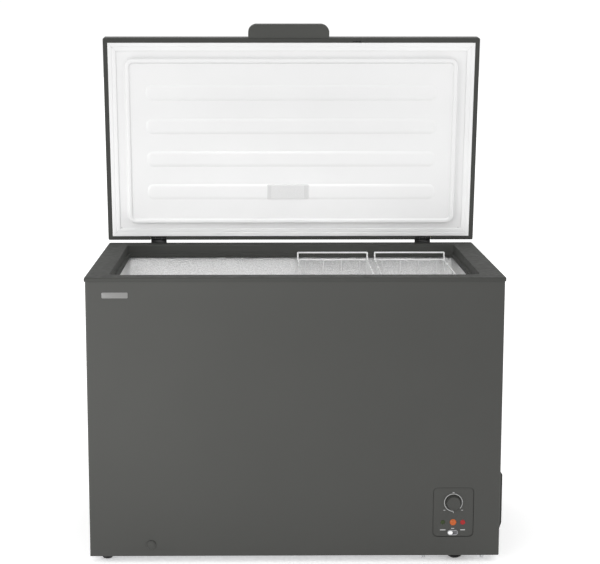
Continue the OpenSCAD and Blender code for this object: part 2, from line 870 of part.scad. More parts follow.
module lid_frame() {
    color(trim_grey) at_lid() difference() {
        post(2 * lid_hw, 2 * lid_hd, lid_r, rim_z, rim_z + frame_h);
        lid_block(inner_x, inner_y0, inner_y1, frame_inner_r, rim_z - 1, rim_z + 5);
        post(2 * (lid_hw - frame_t), 2 * (lid_hd - frame_t), lid_r - frame_t, rim_z + frame_t,
             rim_z + frame_h + 1);
        hinge_notches();
        slab([lock_x - 5, cam_y - 0.6, rim_z - 1], [lock_x + cam_l + 1.5, cam_y + cam_t + 0.6, rim_z + 5]);
        bar_y(lock_r + run_gap, lock_x, lock_z, -lid_hd - 2, -lid_hd + 5);
    }
}

module lid_insulation() {
    color(foam_cream) at_lid() difference() {
        union() {
            lid_block(lid_hw - frame_t - 0.2, -lid_hd + frame_t + 0.2, lid_hd - frame_t - 0.2, 6,
                      rim_z + 4, rim_z + frame_h);
            lid_block(lid_hw - sheet, -lid_hd + sheet, lid_hd - sheet, lid_r - sheet,
                      rim_z + frame_h, lid_top - sheet);
            lid_block(plug_x - liner_t, plug_y0 + liner_t, plug_y1 - liner_t, 18,
                      plug_face_z + liner_t, rim_z + 5);
        }
        hinge_notches();
        slab([lock_x - 12, -lid_hd, rim_z], [lock_x + cam_l + 5, cam_y + 8, rim_z + frame_h + 4]);
    }
}

module lid_liner() {
    color(white) at_lid() difference() {
        union() {
            lid_block(inner_x - 0.2, inner_y0 + 0.2, inner_y1 - 0.2, frame_inner_r, rim_z + 2, rim_z + 4);
            lid_block(plug_x, plug_y0, plug_y1, 20, plug_low_z, rim_z + 3);
        }
        lid_block(plug_x - liner_t, plug_y0 + liner_t, plug_y1 - liner_t, 18,
                  plug_face_z + liner_t, rim_z + 5);
        difference() {
            lid_block(plug_x - bead_w, plug_y0 + bead_w, plug_y1 - bead_w, 12, plug_low_z - 1, plug_face_z);
            for (y = rib_y)
                slab([-rib_x, lid_hd - y - rib_d, plug_face_z - 1.2], [rib_x, lid_hd - y, plug_face_z + 1]);
        }
    }
}

module lid_gasket() {
    color(white) at_lid() difference() {
        lid_block(inner_x - 0.4, inner_y0 + 0.4, inner_y1 - 0.4, frame_inner_r, gasket_z, rim_z + 2);
        lid_block(inner_x - gasket_w, inner_y0 + gasket_w, inner_y1 - gasket_w - 3, 6,
                  gasket_z - 1, rim_z + 3);
    }
}

// Half outline of the handle's tongue, as points: a straight side, an elliptical corner and a
// crowned far edge
function tongue(w, d, rx, ry, crown, n = 10) = concat(
    [[-w / 2, 0]],
    [for (i = [0 : n])
        let (a = 90 * i / n)
        [-w / 2 + rx - rx * cos(a), -(d - crown - ry) - ry * sin(a)]],
    [for (i = [1 : n - 1])
        let (t = 2 * i / n - 1)
        [t * (w / 2 - rx), -d + crown * t * t]],
    [for (i = [n : -1 : 0])
        let (a = 90 * i / n)
        [w / 2 - rx + rx * cos(a), -(d - crown - ry) - ry * sin(a)]],
    [[w / 2, 0]]
);

// Hollow tongue, open at the root where it meets the lid
module lid_handle() {
    color(trim_grey) at_lid() translate([handle_x, -lid_hd, 0]) difference() {
        translate([0, 0, handle_z[0]]) linear_extrude(handle_z[1] - handle_z[0])
            polygon(tongue(handle_w, handle_out, 22, 26, handle_crown));
        translate([0, 1, handle_z[0] + handle_wall])
            linear_extrude(handle_z[1] - handle_z[0] - 2 * handle_wall)
                polygon(tongue(handle_w - 2 * handle_wall, handle_out + 1 - handle_wall, 19, 23,
                               handle_crown));
    }
}

module lid_lamp_cover() {
    color([0.85, 0.85, 0.85]) at_lid() difference() {
        slab([lamp_x[0], lamp_y[0], plug_face_z - 3.6], [lamp_x[1], lamp_y[1], plug_face_z - 1.25]);
        slab([lamp_x[0] + 3, lamp_y[0] + 3, plug_face_z - 2.8], [lamp_x[1] - 3, lamp_y[1] - 3, plug_face_z]);
    }
}

module lid_lamp_board() {
    color([0.15, 0.4, 0.2]) at_lid()
        slab([lamp_x[0] + 8, lamp_y[0] + 8, plug_face_z - 2.6],
             [lamp_x[1] - 8, lamp_y[1] - 8, plug_face_z - 1.3]);
}

module lock_case() {
    color(zinc) at_lid() difference() {
        slab([lock_x - 11, -lid_hd + frame_t, rim_z + frame_t],
             [lock_x + cam_l + 4, inner_y0, rim_z + frame_h + 2]);
        bar_y(lock_r + run_gap, lock_x, lock_z, -lid_hd - 2, cam_y + 1);
        slab([lock_x - 8, cam_y - 0.5, rim_z], [lock_x + cam_l + 1.5, cam_y + cam_t + 0.5, lock_z + 8]);
    }
}

module lock_barrel() {
    color(zinc) at_lid() {
        difference() {
            bar_y(lock_r, lock_x, lock_z, -lid_hd - 0.8, cam_y + cam_t);
            slab([lock_x - 0.6, -lid_hd - 2, lock_z - 3], [lock_x + 0.6, -lid_hd + 3, lock_z + 3]);
        }
        slab([lock_x, cam_y, lock_z - cam_w / 2], [lock_x + cam_l, cam_y + cam_t, lock_z + cam_w / 2]);
    }
}

// ---------- baskets ----------

// Straight round wire between two points, as a twelve-sided bar
module wire(a, b, d) {
    v = b - a;
    translate(a)
        rotate([0, acos(v.z / norm(v)), atan2(v.y, v.x)])
        cylinder(d = d, h = norm(v), $fn = 12);
}

module basket_wires(x0) {
    g = grille_wire;
    top = rim_z_basket + 1;
    low = basket_floor + 2 * g;
    rails = [low + 4, (low + top) / 2];
    posts = [for (i = [0 : post_n - 1]) post_span * (2 * i / (post_n - 1) - 1)];
    end_posts = [for (i = [0 : end_post_n - 1])
        x0 + end_post_in + (basket_w - 2 * end_post_in) * i / (end_post_n - 1)];
    // Side grilles: upright wires with two rails
    for (s = [0, 1]) {
        x = s == 0 ? x0 + wall_inset : x0 + basket_w - wall_inset;
        xr = s == 0 ? x + rail_step : x - rail_step;
        for (y = posts)
            wire([x, y, low], [x, y, top], g);
        for (z = rails)
            wire([xr, -basket_hl + 16, z], [xr, basket_hl - 16, z], g);
    }
    // End grilles
    for (s = [-1, 1]) {
        y = s * (basket_hl - wall_inset);
        yr = s * (basket_hl - wall_inset - rail_step);
        for (x = end_posts)
            wire([x, y, low], [x, y, top], g);
        for (z = rails)
            wire([x0 + 16, yr, z], [x0 + basket_w - 16, yr, z], g);
    }
    // Floor grille
    z = basket_floor + g / 2;
    for (y = posts)
        wire([x0 + 10, y, z], [x0 + basket_w - 10, y, z], g);
    for (x = end_posts)
        wire([x, -basket_hl + 10, z + rail_step], [x, basket_hl - 10, z + rail_step], g);
}

module basket_rim(x0) {
    c = rim_wire / 2;
    xc = x0 + basket_w / 2;
    x1 = basket_w / 2 - c;
    translate([xc, 0, 0])
        tube(loop(x1, basket_hl - c, 12, rim_z_basket, 0), rim_wire, 8, true);
    // Hanger bows at the two ends, which rise inside the collar and rest on its ledge
    y0 = basket_hl - 16;
    y1 = cav_y - 4.5;
    side = [[y0, rim_z_basket], [y0 + 6, rim_z_basket + 8], [y1, ledge_z - 4], [y1, ledge_z + 1.3],
            [y1 + 2.3, hanger_z + 0.1]];
    for (s = [-1, 1])
        translate([xc, 0, 0]) tube(concat(
            [for (p = side) [-x1, s * p[0], p[1]]],
            [[-x1 + 5, s * hanger_y, hanger_z + 0.1], [x1 - 5, s * hanger_y, hanger_z + 0.1]],
            [for (i = [len(side) - 1 : -1 : 0]) [x1, s * side[i][0], side[i][1]]]), rim_wire);
}

module left_basket_wires() {
    color(white) at_cabinet() basket_wires(basket_x[0]);
}

module left_basket_rim() {
    color(white) at_cabinet() basket_rim(basket_x[0]);
}

module right_basket_wires() {
    color(white) at_cabinet() basket_wires(basket_x[1]);
}

module right_basket_rim() {
    color(white) at_cabinet() basket_rim(basket_x[1]);
}

front_panel();
left_side_panel();
right_side_panel();
rear_panel();
base_panel();
bay_shroud();
body_insulation();
liner_walls();
liner_floor();
evaporator_coil();
condenser_coil();
top_collar();
control_panel();
green_lamp_lens();
amber_lamp_lens();
red_lamp_lens();
switch_housing();
thermostat_body();
badge_plate();
side_vent_cover();
compressor_plate();
compressor();
compressor_grommets();
bay_bolts();
start_relay_box();
filter_drier();
refrigerant_pipes();
wiring_loom();
cord_gland();
foot_pads();
roller_brackets();
roller_axles();
drain_tube();
drain_outlet();
hinge_housings();
hinge_pins();
hinge_springs();
hinge_screws();
drain_cap();
drain_stopper();
thermostat_knob();
thermostat_shaft();
switch_slider();
front_roller();
rear_roller();
lid_skin();
lid_frame();
lid_insulation();
lid_liner();
lid_gasket();
lid_handle();
lid_lamp_cover();
lid_lamp_board();
lid_hinge_leaves();
lock_case();
lock_barrel();
left_basket_wires();
left_basket_rim();
right_basket_wires();
right_basket_rim();
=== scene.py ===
"""Chest freezer with an open lid: the visual pieces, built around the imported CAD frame.

Laid out as an add-on: sizes and finishes are properties, and each piece or group of like
pieces has its own operator, listed in one sidebar panel.
"""
import json
from math import copysign, cos, pi, radians, sin, tan, tau

import bmesh
import bpy
from mathutils import Matrix, Vector


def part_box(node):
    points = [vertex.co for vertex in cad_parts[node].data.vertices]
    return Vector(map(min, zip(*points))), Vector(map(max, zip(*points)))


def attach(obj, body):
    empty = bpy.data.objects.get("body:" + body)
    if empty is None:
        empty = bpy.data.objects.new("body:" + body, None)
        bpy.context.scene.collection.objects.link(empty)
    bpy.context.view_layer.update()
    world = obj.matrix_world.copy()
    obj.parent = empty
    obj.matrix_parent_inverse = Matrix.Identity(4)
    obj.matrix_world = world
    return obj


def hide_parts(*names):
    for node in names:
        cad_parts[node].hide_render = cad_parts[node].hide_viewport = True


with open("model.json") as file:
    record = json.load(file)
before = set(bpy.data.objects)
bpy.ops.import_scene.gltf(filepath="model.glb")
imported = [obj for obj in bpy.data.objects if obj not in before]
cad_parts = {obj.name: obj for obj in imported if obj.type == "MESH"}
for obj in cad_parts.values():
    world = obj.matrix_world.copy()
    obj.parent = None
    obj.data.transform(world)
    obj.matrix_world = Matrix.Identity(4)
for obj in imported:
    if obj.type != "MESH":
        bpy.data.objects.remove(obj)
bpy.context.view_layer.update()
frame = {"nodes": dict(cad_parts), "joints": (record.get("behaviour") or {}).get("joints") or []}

bl_info = {
    "name": "Chest Freezer",
    "version": (1, 0, 0),
    "blender": (4, 5, 0),
    "location": "View3D > Sidebar > Freezer",
    "description": "Builds the visual pieces of a chest freezer around its CAD frame",
    "category": "Object",
}

MM = 0.001
BODY = "cabinet"


# ---------- where things are, from the frame ----------

def joint(name):
    """The frame's row for one joint."""
    return next(j for j in frame["joints"] if j["name"] == name)


def node_middle(node):
    """Middle of a CAD node's box."""
    lo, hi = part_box(node)
    return (lo + hi) / 2


HINGE = joint("lid_hinge")
PIVOT = Vector(HINGE["pos_m"])
OPEN_ANGLE = radians(-HINGE["range_deg"][0])
PIN_ABOVE_RIM = 11 * MM
PIN_IN = 3 * MM
# Lid drawings: x across, y = 0 at the rear edge and negative towards the front,
# z = 0 on the rim and positive towards the lid's top. LID turns a drawing to the open lid.
LID = (Matrix.Translation(PIVOT) @ Matrix.Rotation(-OPEN_ANGLE, 4, "X")
       @ Matrix.Translation((0, PIN_IN, -PIN_ABOVE_RIM)))
CAB = node_middle("top_collar")
LOCK_X = joint("lock_turn")["pos_m"][0]
LOCK_RISE = 10 * MM
# The cam's near face, behind the lid's front edge
CAM_IN = 9.1 * MM
# Where the cavity's floor steps up over the machine bay
STEP_X = 234 * MM


# ---------- sizes and finishes that a user would change ----------

def size(name, description, default_mm):
    """A length property, given in millimetres."""
    return bpy.props.FloatProperty(name=name, description=description, default=default_mm * MM,
                                   min=0.0, unit="LENGTH")


def colour(name, description, default):
    """A colour property, in linear light."""
    return bpy.props.FloatVectorProperty(name=name, description=description, default=default,
                                         size=3, min=0.0, max=1.0, subtype="COLOR")


class FreezerCabinet(bpy.types.PropertyGroup):
    """Sizes of the collar and the cavity."""
    mouth_x: size("Mouth half width", "Half the width of the opening in the collar", 501)
    mouth_y: size("Mouth half depth", "Half the depth of the opening in the collar", 257.5)
    mouth_r: size("Mouth corner", "Corner radius of the opening in the collar", 18)
    ledge: size("Ledge", "Width of the ledge that the baskets hang on", 7)
    ledge_drop: size("Ledge drop", "Depth of the ledge below the collar's top", 26)
    skirt_drop: size("Skirt drop", "Depth of the collar's lower edge below its top", 38)
    liner_r: size("Liner corner", "Radius of the liner's upright and floor corners", 12)


class FreezerLid(bpy.types.PropertyGroup):
    """Sizes of the lid, as it is drawn closed."""
    half_width: size("Half width", "Half the lid's width", 565.5)
    depth: size("Depth", "From the rear edge to the front edge", 624)
    thickness: size("Thickness", "From the rim to the top face", 55)
    corner: size("Corner", "Radius of the lid's four upright corners", 4)
    frame_height: size("Frame height", "Height of the plastic frame", 20)
    side_band: size("Side band", "Width of the frame's rim at the sides", 13.5)
    rear_band: size("Rear band", "Width of the frame's rim at the rear", 12)
    front_band: size("Front band", "Width of the frame's rim at the front", 13.5)
    plug_half: size("Plug half width", "Half the width of the raised liner", 499.5)
    plug_rear: size("Plug rear", "From the rear edge to the raised liner", 57.5)
    plug_front: size("Plug front", "From the rear edge to the raised liner's far side", 564.5)
    plug_rise: size("Plug rise", "How far the bead stands beyond the rim", 20)
    face_rise: size("Face rise", "How far the liner's face stands beyond the rim", 16)
    handle_width: size("Handle width", "Width of the handle", 243)
    handle_reach: size("Handle reach", "How far the handle stands out", 44.5)


class FreezerBasket(bpy.types.PropertyGroup):
    """Sizes of the wire baskets."""
    rim_wire: size("Rim wire", "Diameter of the rim and hanger wire", 5)
    grille_wire: size("Grille wire", "Diameter of the grille wire", 3)
    bend: size("Bend", "Inside radius where a grille wire turns up", 9)


class FreezerColours(bpy.types.PropertyGroup):
    """Base colours of the finishes."""
    paint: colour("Paint", "Painted steel of the shell and lid", (0.045, 0.0457, 0.0420))
    trim: colour("Trim", "Moulded grey plastic", (0.053, 0.054, 0.0505))
    white: colour("White", "Moulded white plastic", (0.745, 0.745, 0.745))
    wire: colour("Wire", "White coating of the baskets", (0.86, 0.86, 0.86))
    metal: colour("Metal", "Embossed sheet of the cavity", (0.96, 0.96, 0.955))


class FreezerStage(bpy.types.PropertyGroup):
    """Camera."""
    lens: bpy.props.FloatProperty(name="Lens", description="Focal length in millimetres",
                                  default=81.186, min=1.0)
    place: bpy.props.FloatVectorProperty(name="Camera place", description="Where the camera stands",
                                         default=(-0.0844, -3.8721, 1.4434), subtype="TRANSLATION")
    yaw: bpy.props.FloatProperty(name="Yaw", description="Turn to the right",
                                 default=radians(0.487), subtype="ANGLE")
    pitch: bpy.props.FloatProperty(name="Pitch", description="Tilt downwards",
                                   default=radians(8.127), subtype="ANGLE")
    shift: bpy.props.FloatVectorProperty(name="Shift", description="Lens shift, in frame widths",
                                         default=(0.0417, -0.095), size=2)


# ---------- shaping helpers ----------

def verts_in(geom):
    return [g for g in geom if isinstance(g, bmesh.types.BMVert)]


def edges_in(geom):
    return [g for g in geom if isinstance(g, bmesh.types.BMEdge)]


def face_outwards(bm):
    bmesh.ops.recalc_face_normals(bm, faces=bm.faces)


def round_path(points, n=4):
    """A path of (u, v) from corners (u, v) or (u, v, radius), with an arc at each rounded one."""
    out = []
    for i, p in enumerate(points):
        at = Vector(p[:2])
        r = p[2] if len(p) > 2 else 0.0
        if not r:
            out.append(at)
            continue
        back = (Vector(points[i - 1][:2]) - at).normalized()
        ahead = (Vector(points[i + 1][:2]) - at).normalized()
        half = back.angle(ahead) / 2
        centre = at + (back + ahead).normalized() * r / sin(half)
        a = at + back * r / tan(half) - centre
        b = at + ahead * r / tan(half) - centre
        turn = a.angle(b)
        for k in range(n + 1):
            t = k / n
            out.append(centre + a * (sin((1 - t) * turn) / sin(turn)) + b * (sin(t * turn) / sin(turn)))
    return out


def inset(rect, u):
    """A rectangle (x0, x1, y0, y1) drawn in by u on every side."""
    x0, x1, y0, y1 = rect
    return (x0 + u, x1 - u, y0 + u, y1 - u)


def rows(rect, r, path, least=0.6 * MM):
    """Loft rows (rect, radius, z) along a path of (inset, z), with the corner radius following it."""
    return [(inset(rect, u), max(r - u, least), z) for u, z in path]


def outline(rect, r, n):
    """Points of a rectangle with rounded corners, anticlockwise, n steps in each corner."""
    x0, x1, y0, y1 = rect
    corners = ((x1 - r, y1 - r), (x0 + r, y1 - r), (x0 + r, y0 + r), (x1 - r, y0 + r))
    return [(cx + r * cos(pi / 2 * (q + k / n)), cy + r * sin(pi / 2 * (q + k / n)))
            for q, (cx, cy) in enumerate(corners) for k in range(n + 1)]


def loft(bm, levels, n=6, closed=False, first=False, last=False):
    """Skin through rounded rectangles. closed joins the last to the first; first, last keep end caps."""
    rect, r, z = levels[0]
    ring = [bm.verts.new((x, y, z)) for x, y in outline(rect, r, n)]
    start, cap = ring, bm.faces.new(ring)
    edges = list(cap.edges)
    if not first:
        bmesh.ops.delete(bm, geom=[cap], context="FACES_ONLY")
    for rect, r, z in levels[1:] + (levels[:1] if closed else []):
        new = bmesh.ops.extrude_edge_only(bm, edges=edges)["geom"]
        verts = set(verts_in(new))
        edges = [e for e in edges_in(new) if set(e.verts) <= verts]
        ring = [next(e.other_vert(v) for e in v.link_edges if e.other_vert(v) in verts) for v in ring]
        for v, (x, y) in zip(ring, outline(rect, r, n)):
            v.co = (x, y, z)
    if closed:
        bmesh.ops.weld_verts(bm, targetmap=dict(zip(ring, start)))
    if last:
        bmesh.ops.contextual_create(bm, geom=edges)
    face_outwards(bm)


def block(bm, lo, hi):
    """A box between two corners. Returns its vertices."""
    verts = bmesh.ops.create_cube(bm, size=1.0)["verts"]
    lo, hi = Vector(lo), Vector(hi)
    bmesh.ops.scale(bm, vec=hi - lo, verts=verts)
    bmesh.ops.translate(bm, vec=(lo + hi) / 2, verts=verts)
    return verts


def soften(bm, width, segments=2, angle=30):
    """Round every edge sharper than angle."""
    sharp = [e for e in bm.edges if len(e.link_faces) == 2 and e.calc_face_angle(0) > radians(angle)]
    bmesh.ops.bevel(bm, geom=sharp, offset=width, segments=segments, profile=0.5, affect="EDGES",
                    material=-1, clamp_overlap=True)


def lathe(bm, outline, centre, axis, steps=48):
    """Turn an outline of (radius, height along axis) about an axis through centre."""
    turn = Vector((0, 0, 1)).rotation_difference(Vector(axis)).to_matrix().to_4x4()
    place = Matrix.Translation(centre) @ turn
    verts = [bm.verts.new(place @ Vector((r, 0, h))) for r, h in outline]
    edges = [bm.edges.new(pair) for pair in zip(verts, verts[1:])]
    bmesh.ops.spin(bm, geom=verts + edges, cent=centre, axis=Vector(axis), dvec=(0, 0, 0),
                   angle=tau, steps=steps, use_merge=True, use_duplicate=False)
    bmesh.ops.remove_doubles(bm, verts=bm.verts, dist=1e-6)
    face_outwards(bm)


def bent_bar(bm, points, radius, bend, sides=10):
    """A round bar through points, straight between them and bent to a radius at each inner one."""
    pts = [Vector(p) for p in points]
    way = (pts[1] - pts[0]).normalized()
    turn = Vector((0, 0, 1)).rotation_difference(way).to_matrix().to_4x4()
    ring = bmesh.ops.create_circle(bm, cap_ends=True, radius=radius, segments=sides,
                                   matrix=Matrix.Translation(pts[0]) @ turn)["verts"]
    edges = list({e for v in ring for e in v.link_edges})
    at = pts[0]
    for i in range(1, len(pts)):
        last = i == len(pts) - 1
        way = (pts[i] - pts[i - 1]).normalized()
        onward = way if last else (pts[i + 1] - pts[i]).normalized()
        turn = way.angle(onward) if not last else 0.0
        stop = pts[i] - way * bend * tan(turn / 2)
        new = bmesh.ops.extrude_edge_only(bm, edges=edges)["geom"]
        ring = verts_in(new)
        edges = [e for e in edges_in(new) if all(v in ring for v in e.verts)]
        bmesh.ops.translate(bm, vec=stop - at, verts=ring)
        at = stop
        if turn > 1e-4:
            axis = way.cross(onward).normalized()
            centre = stop + axis.cross(way) * bend
            new = bmesh.ops.spin(bm, geom=ring + edges, cent=centre, axis=axis, dvec=(0, 0, 0),
                                 angle=turn, steps=max(2, round(turn / radians(18))),
                                 use_merge=False, use_duplicate=False)["geom_last"]
            ring = verts_in(new)
            edges = edges_in(new)
            at = pts[i] + onward * bend * tan(turn / 2)
    bmesh.ops.contextual_create(bm, geom=edges)


def closed_bar(bm, points, radius, bend, sides=10):
    """A closed round bar: it starts and ends in the middle of its first side."""
    middle = (Vector(points[0]) + Vector(points[-1])) / 2
    bent_bar(bm, [middle, *points, middle], radius, bend, sides)


def copy_node(node):
    """A CAD node's mesh as a merged bmesh, with its flat triangles joined into whole faces."""
    bm = bmesh.new()
    bm.from_mesh(frame["nodes"][node].data)
    bmesh.ops.remove_doubles(bm, verts=bm.verts, dist=1e-5)
    bmesh.ops.dissolve_limit(bm, angle_limit=radians(1), verts=bm.verts, edges=bm.edges)
    return bm


def put(name, bm):
    """A bmesh as an object in the scene. Frees the bmesh."""
    mesh = bpy.data.meshes.new(name)
    bm.to_mesh(mesh)
    bm.free()
    obj = bpy.data.objects.new(name, mesh)
    bpy.context.scene.collection.objects.link(obj)
    return obj


def make(name, bm, body, finish, stands_for=(), move=None, smooth=35):
    """Finish a bmesh as a piece: place, shade, dress, ride and hide the CAD nodes it replaces."""
    if move is not None:
        bmesh.ops.transform(bm, matrix=move, verts=bm.verts)
    piece = put(name, bm)
    piece.data.shade_smooth()
    piece.data.set_sharp_from_angle(angle=radians(smooth))
    piece.data.materials.append(FINISH[finish])
    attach(piece, body)
    if stands_for:
        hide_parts(*stands_for)
    return piece


def add_wall(piece, thickness):
    """Give a sheet its thickness, behind its faces."""
    wall = piece.modifiers.new("Sheet", "SOLIDIFY")
    wall.thickness = thickness
    wall.offset = -1


def carve(piece, boxes=(), bars=(), move=None):
    """Cut boxes (lo, hi) and round bars (a, b, radius) out of a closed piece."""
    bm = bmesh.new()
    for lo, hi in boxes:
        block(bm, lo, hi)
    for a, b, r in bars:
        bent_bar(bm, [a, b], r, r, 32)
    if move is not None:
        bmesh.ops.transform(bm, matrix=move, verts=bm.verts)
    face_outwards(bm)
    cutter = put("cutter", bm)
    cut = piece.modifiers.new("Cut", "BOOLEAN")
    cut.object = cutter
    cut.operation = "DIFFERENCE"
    cut.solver = "EXACT"
    graph = bpy.context.evaluated_depsgraph_get()
    result = bpy.data.meshes.new_from_object(piece.evaluated_get(graph))
    piece.modifiers.remove(cut)
    old, piece.data = piece.data, result
    used = cutter.data
    bpy.data.meshes.remove(old)
    bpy.data.objects.remove(cutter)
    bpy.data.meshes.remove(used)
    result.set_sharp_from_angle(angle=radians(35))


def refine(node, body, finish, width, segments=2):
    """A CAD node again, with its edges rounded."""
    bm = copy_node(node)
    soften(bm, width, segments)
    return make(node + "_finished", bm, body, finish, [node])


# ---------- materials ----------

class Nodes:
    """Short words for building one material's nodes on object coordinates."""

    def __init__(self, name, base, rough, metal=0.0, **sockets):
        self.mat = bpy.data.materials.new(name)
        self.mat.use_nodes = True
        self.tree = self.mat.node_tree
        self.bsdf = self.tree.nodes["Principled BSDF"]
        self.where = self.tree.nodes.new("ShaderNodeTexCoord").outputs["Object"]
        self.set(self.bsdf, {"Base Color": (*base, 1), "Roughness": rough, "Metallic": metal,
                             **sockets})
        self.base = base

    def set(self, node, values):
        for key, value in values.items():
            node.inputs[key].default_value = value

    def add(self, kind, inputs=None, **settings):
        node = self.tree.nodes.new("ShaderNode" + kind)
        for key, value in settings.items():
            setattr(node, key, value)
        for key, value in (inputs or {}).items():
            if hasattr(value, "is_output"):
                self.tree.links.new(value, node.inputs[key])
            else:
                node.inputs[key].default_value = value
        return node

    def stretched(self, scale):
        return self.add("Mapping", {"Vector": self.where, "Scale": scale}).outputs["Vector"]

    def noise(self, scale, detail=2.0, where=None, rough=0.5):
        return self.add("TexNoise", {"Vector": where or self.where, "Scale": scale, "Detail": detail,
                                     "Roughness": rough}).outputs["Fac"]

    def span(self, value, low, high):
        """Stretch the middle of a noise's range to low and high."""
        return self.add("MapRange", {"Value": value, "From Min": 0.3, "From Max": 0.7,
                                     "To Min": low, "To Max": high}).outputs["Result"]

    def tint(self, value, spread):
        """Lighten and darken the base colour by spread, following value."""
        mix = self.add("Mix", {"Factor": self.span(value, 0, 1)}, data_type="RGBA")
        mix.inputs[6].default_value = (*[c * (1 - spread) for c in self.base], 1)
        mix.inputs[7].default_value = (*[min(c * (1 + spread), 1) for c in self.base], 1)
        self.tree.links.new(mix.outputs[2], self.bsdf.inputs["Base Color"])

    def rough(self, value, low, high):
        self.tree.links.new(self.span(value, low, high), self.bsdf.inputs["Roughness"])

    def bump(self, height, distance, strength=1.0, over=None):
        inputs = {"Height": height, "Distance": distance, "Strength": strength}
        if over:
            inputs["Normal"] = over
        out = self.add("Bump", inputs).outputs["Normal"]
        self.tree.links.new(out, self.bsdf.inputs["Normal"])
        return out


def paint(name, base, rough=0.42):
    """Baked enamel on steel: faint orange peel and slight clouding."""
    n = Nodes(name, base, rough, **{"Specular IOR Level": 0.35})
    n.tint(n.noise(2.2, 3), 0.035)
    n.rough(n.noise(14, 3), rough - 0.04, rough + 0.05)
    wave = n.bump(n.noise(42, 1), 0.00035, 0.35)
    n.bump(n.noise(700, 2), 0.00005, 0.5, over=wave)
    return n.mat


def moulding(name, base, rough=0.5, grain=900, depth=0.00006, shine=0.35):
    """Moulded plastic with a fine spark grain."""
    n = Nodes(name, base, rough, **{"Specular IOR Level": shine})
    n.tint(n.noise(6, 2), 0.03)
    n.rough(n.noise(60, 3), rough - 0.06, rough + 0.06)
    n.bump(n.noise(grain, 3, rough=0.6), depth, 0.7)
    return n.mat


def gloss(name, base, rough=0.28, **sockets):
    """Smooth moulded or coated surface, with the slow waves of a formed sheet."""
    n = Nodes(name, base, rough, **{"Coat Weight": 0.15, "Coat Roughness": 0.12, **sockets})
    n.tint(n.noise(5, 2), 0.012)
    n.rough(n.noise(22, 3), rough - 0.04, rough + 0.06)
    n.bump(n.noise(18, 2), 0.0005, 0.25)
    return n.mat


def embossed(name, base):
    """Stucco-embossed aluminium: small crossed pillows pressed into bright sheet."""
    n = Nodes(name, base, 0.5, 1.0)
    warp = n.add("TexNoise", {"Vector": n.where, "Scale": 26.0, "Detail": 1.0}).outputs["Color"]
    bent = n.add("VectorMath", {0: warp, "Scale": 0.012}, operation="SCALE").outputs["Vector"]
    where = n.add("VectorMath", {0: n.where, 1: bent}, operation="ADD").outputs["Vector"]
    cells = n.add("TexVoronoi", {"Vector": where, "Scale": 260.0, "Smoothness": 0.35},
                  feature="SMOOTH_F1").outputs["Distance"]
    n.tint(n.noise(330, 2, where, rough=0.7), 0.27)
    n.rough(n.noise(160, 3), 0.3, 0.5)
    n.bump(cells, 0.0011, 1.0)
    return n.mat


def bright(name, base, rough=0.35, lines=None):
    """Plated or bare metal, with drawn lines if a stretch is given."""
    n = Nodes(name, base, rough, 1.0)
    where = n.stretched(lines) if lines else n.where
    n.tint(n.noise(30, 3, where), 0.1)
    n.rough(n.noise(90, 4, where), rough - 0.1, rough + 0.12)
    n.bump(n.noise(400, 2, where), 0.00004, 0.5)
    return n.mat


def rubber(name, base, rough=0.7):
    """Soft black or white rubber with a dry bloom."""
    n = Nodes(name, base, rough)
    n.tint(n.noise(40, 3), 0.08)
    n.rough(n.noise(120, 3), rough - 0.08, rough + 0.08)
    n.bump(n.noise(1200, 2), 0.00006, 0.6)
    return n.mat


def foam(name, base):
    """Rigid foam: small closed cells."""
    n = Nodes(name, base, 0.9)
    cells = n.add("TexVoronoi", {"Vector": n.where, "Scale": 400.0}).outputs["Distance"]
    n.tint(n.noise(20, 3), 0.08)
    n.bump(cells, 0.0006, 0.8)
    return n.mat


def lens(name, base):
    """Tinted lamp lens, ground on its inside."""
    n = Nodes(name, base, 0.22, **{"Specular IOR Level": 0.4})
    n.tint(n.noise(300, 1), 0.15)
    n.bump(n.noise(800, 1), 0.0002, 0.4)
    return n.mat


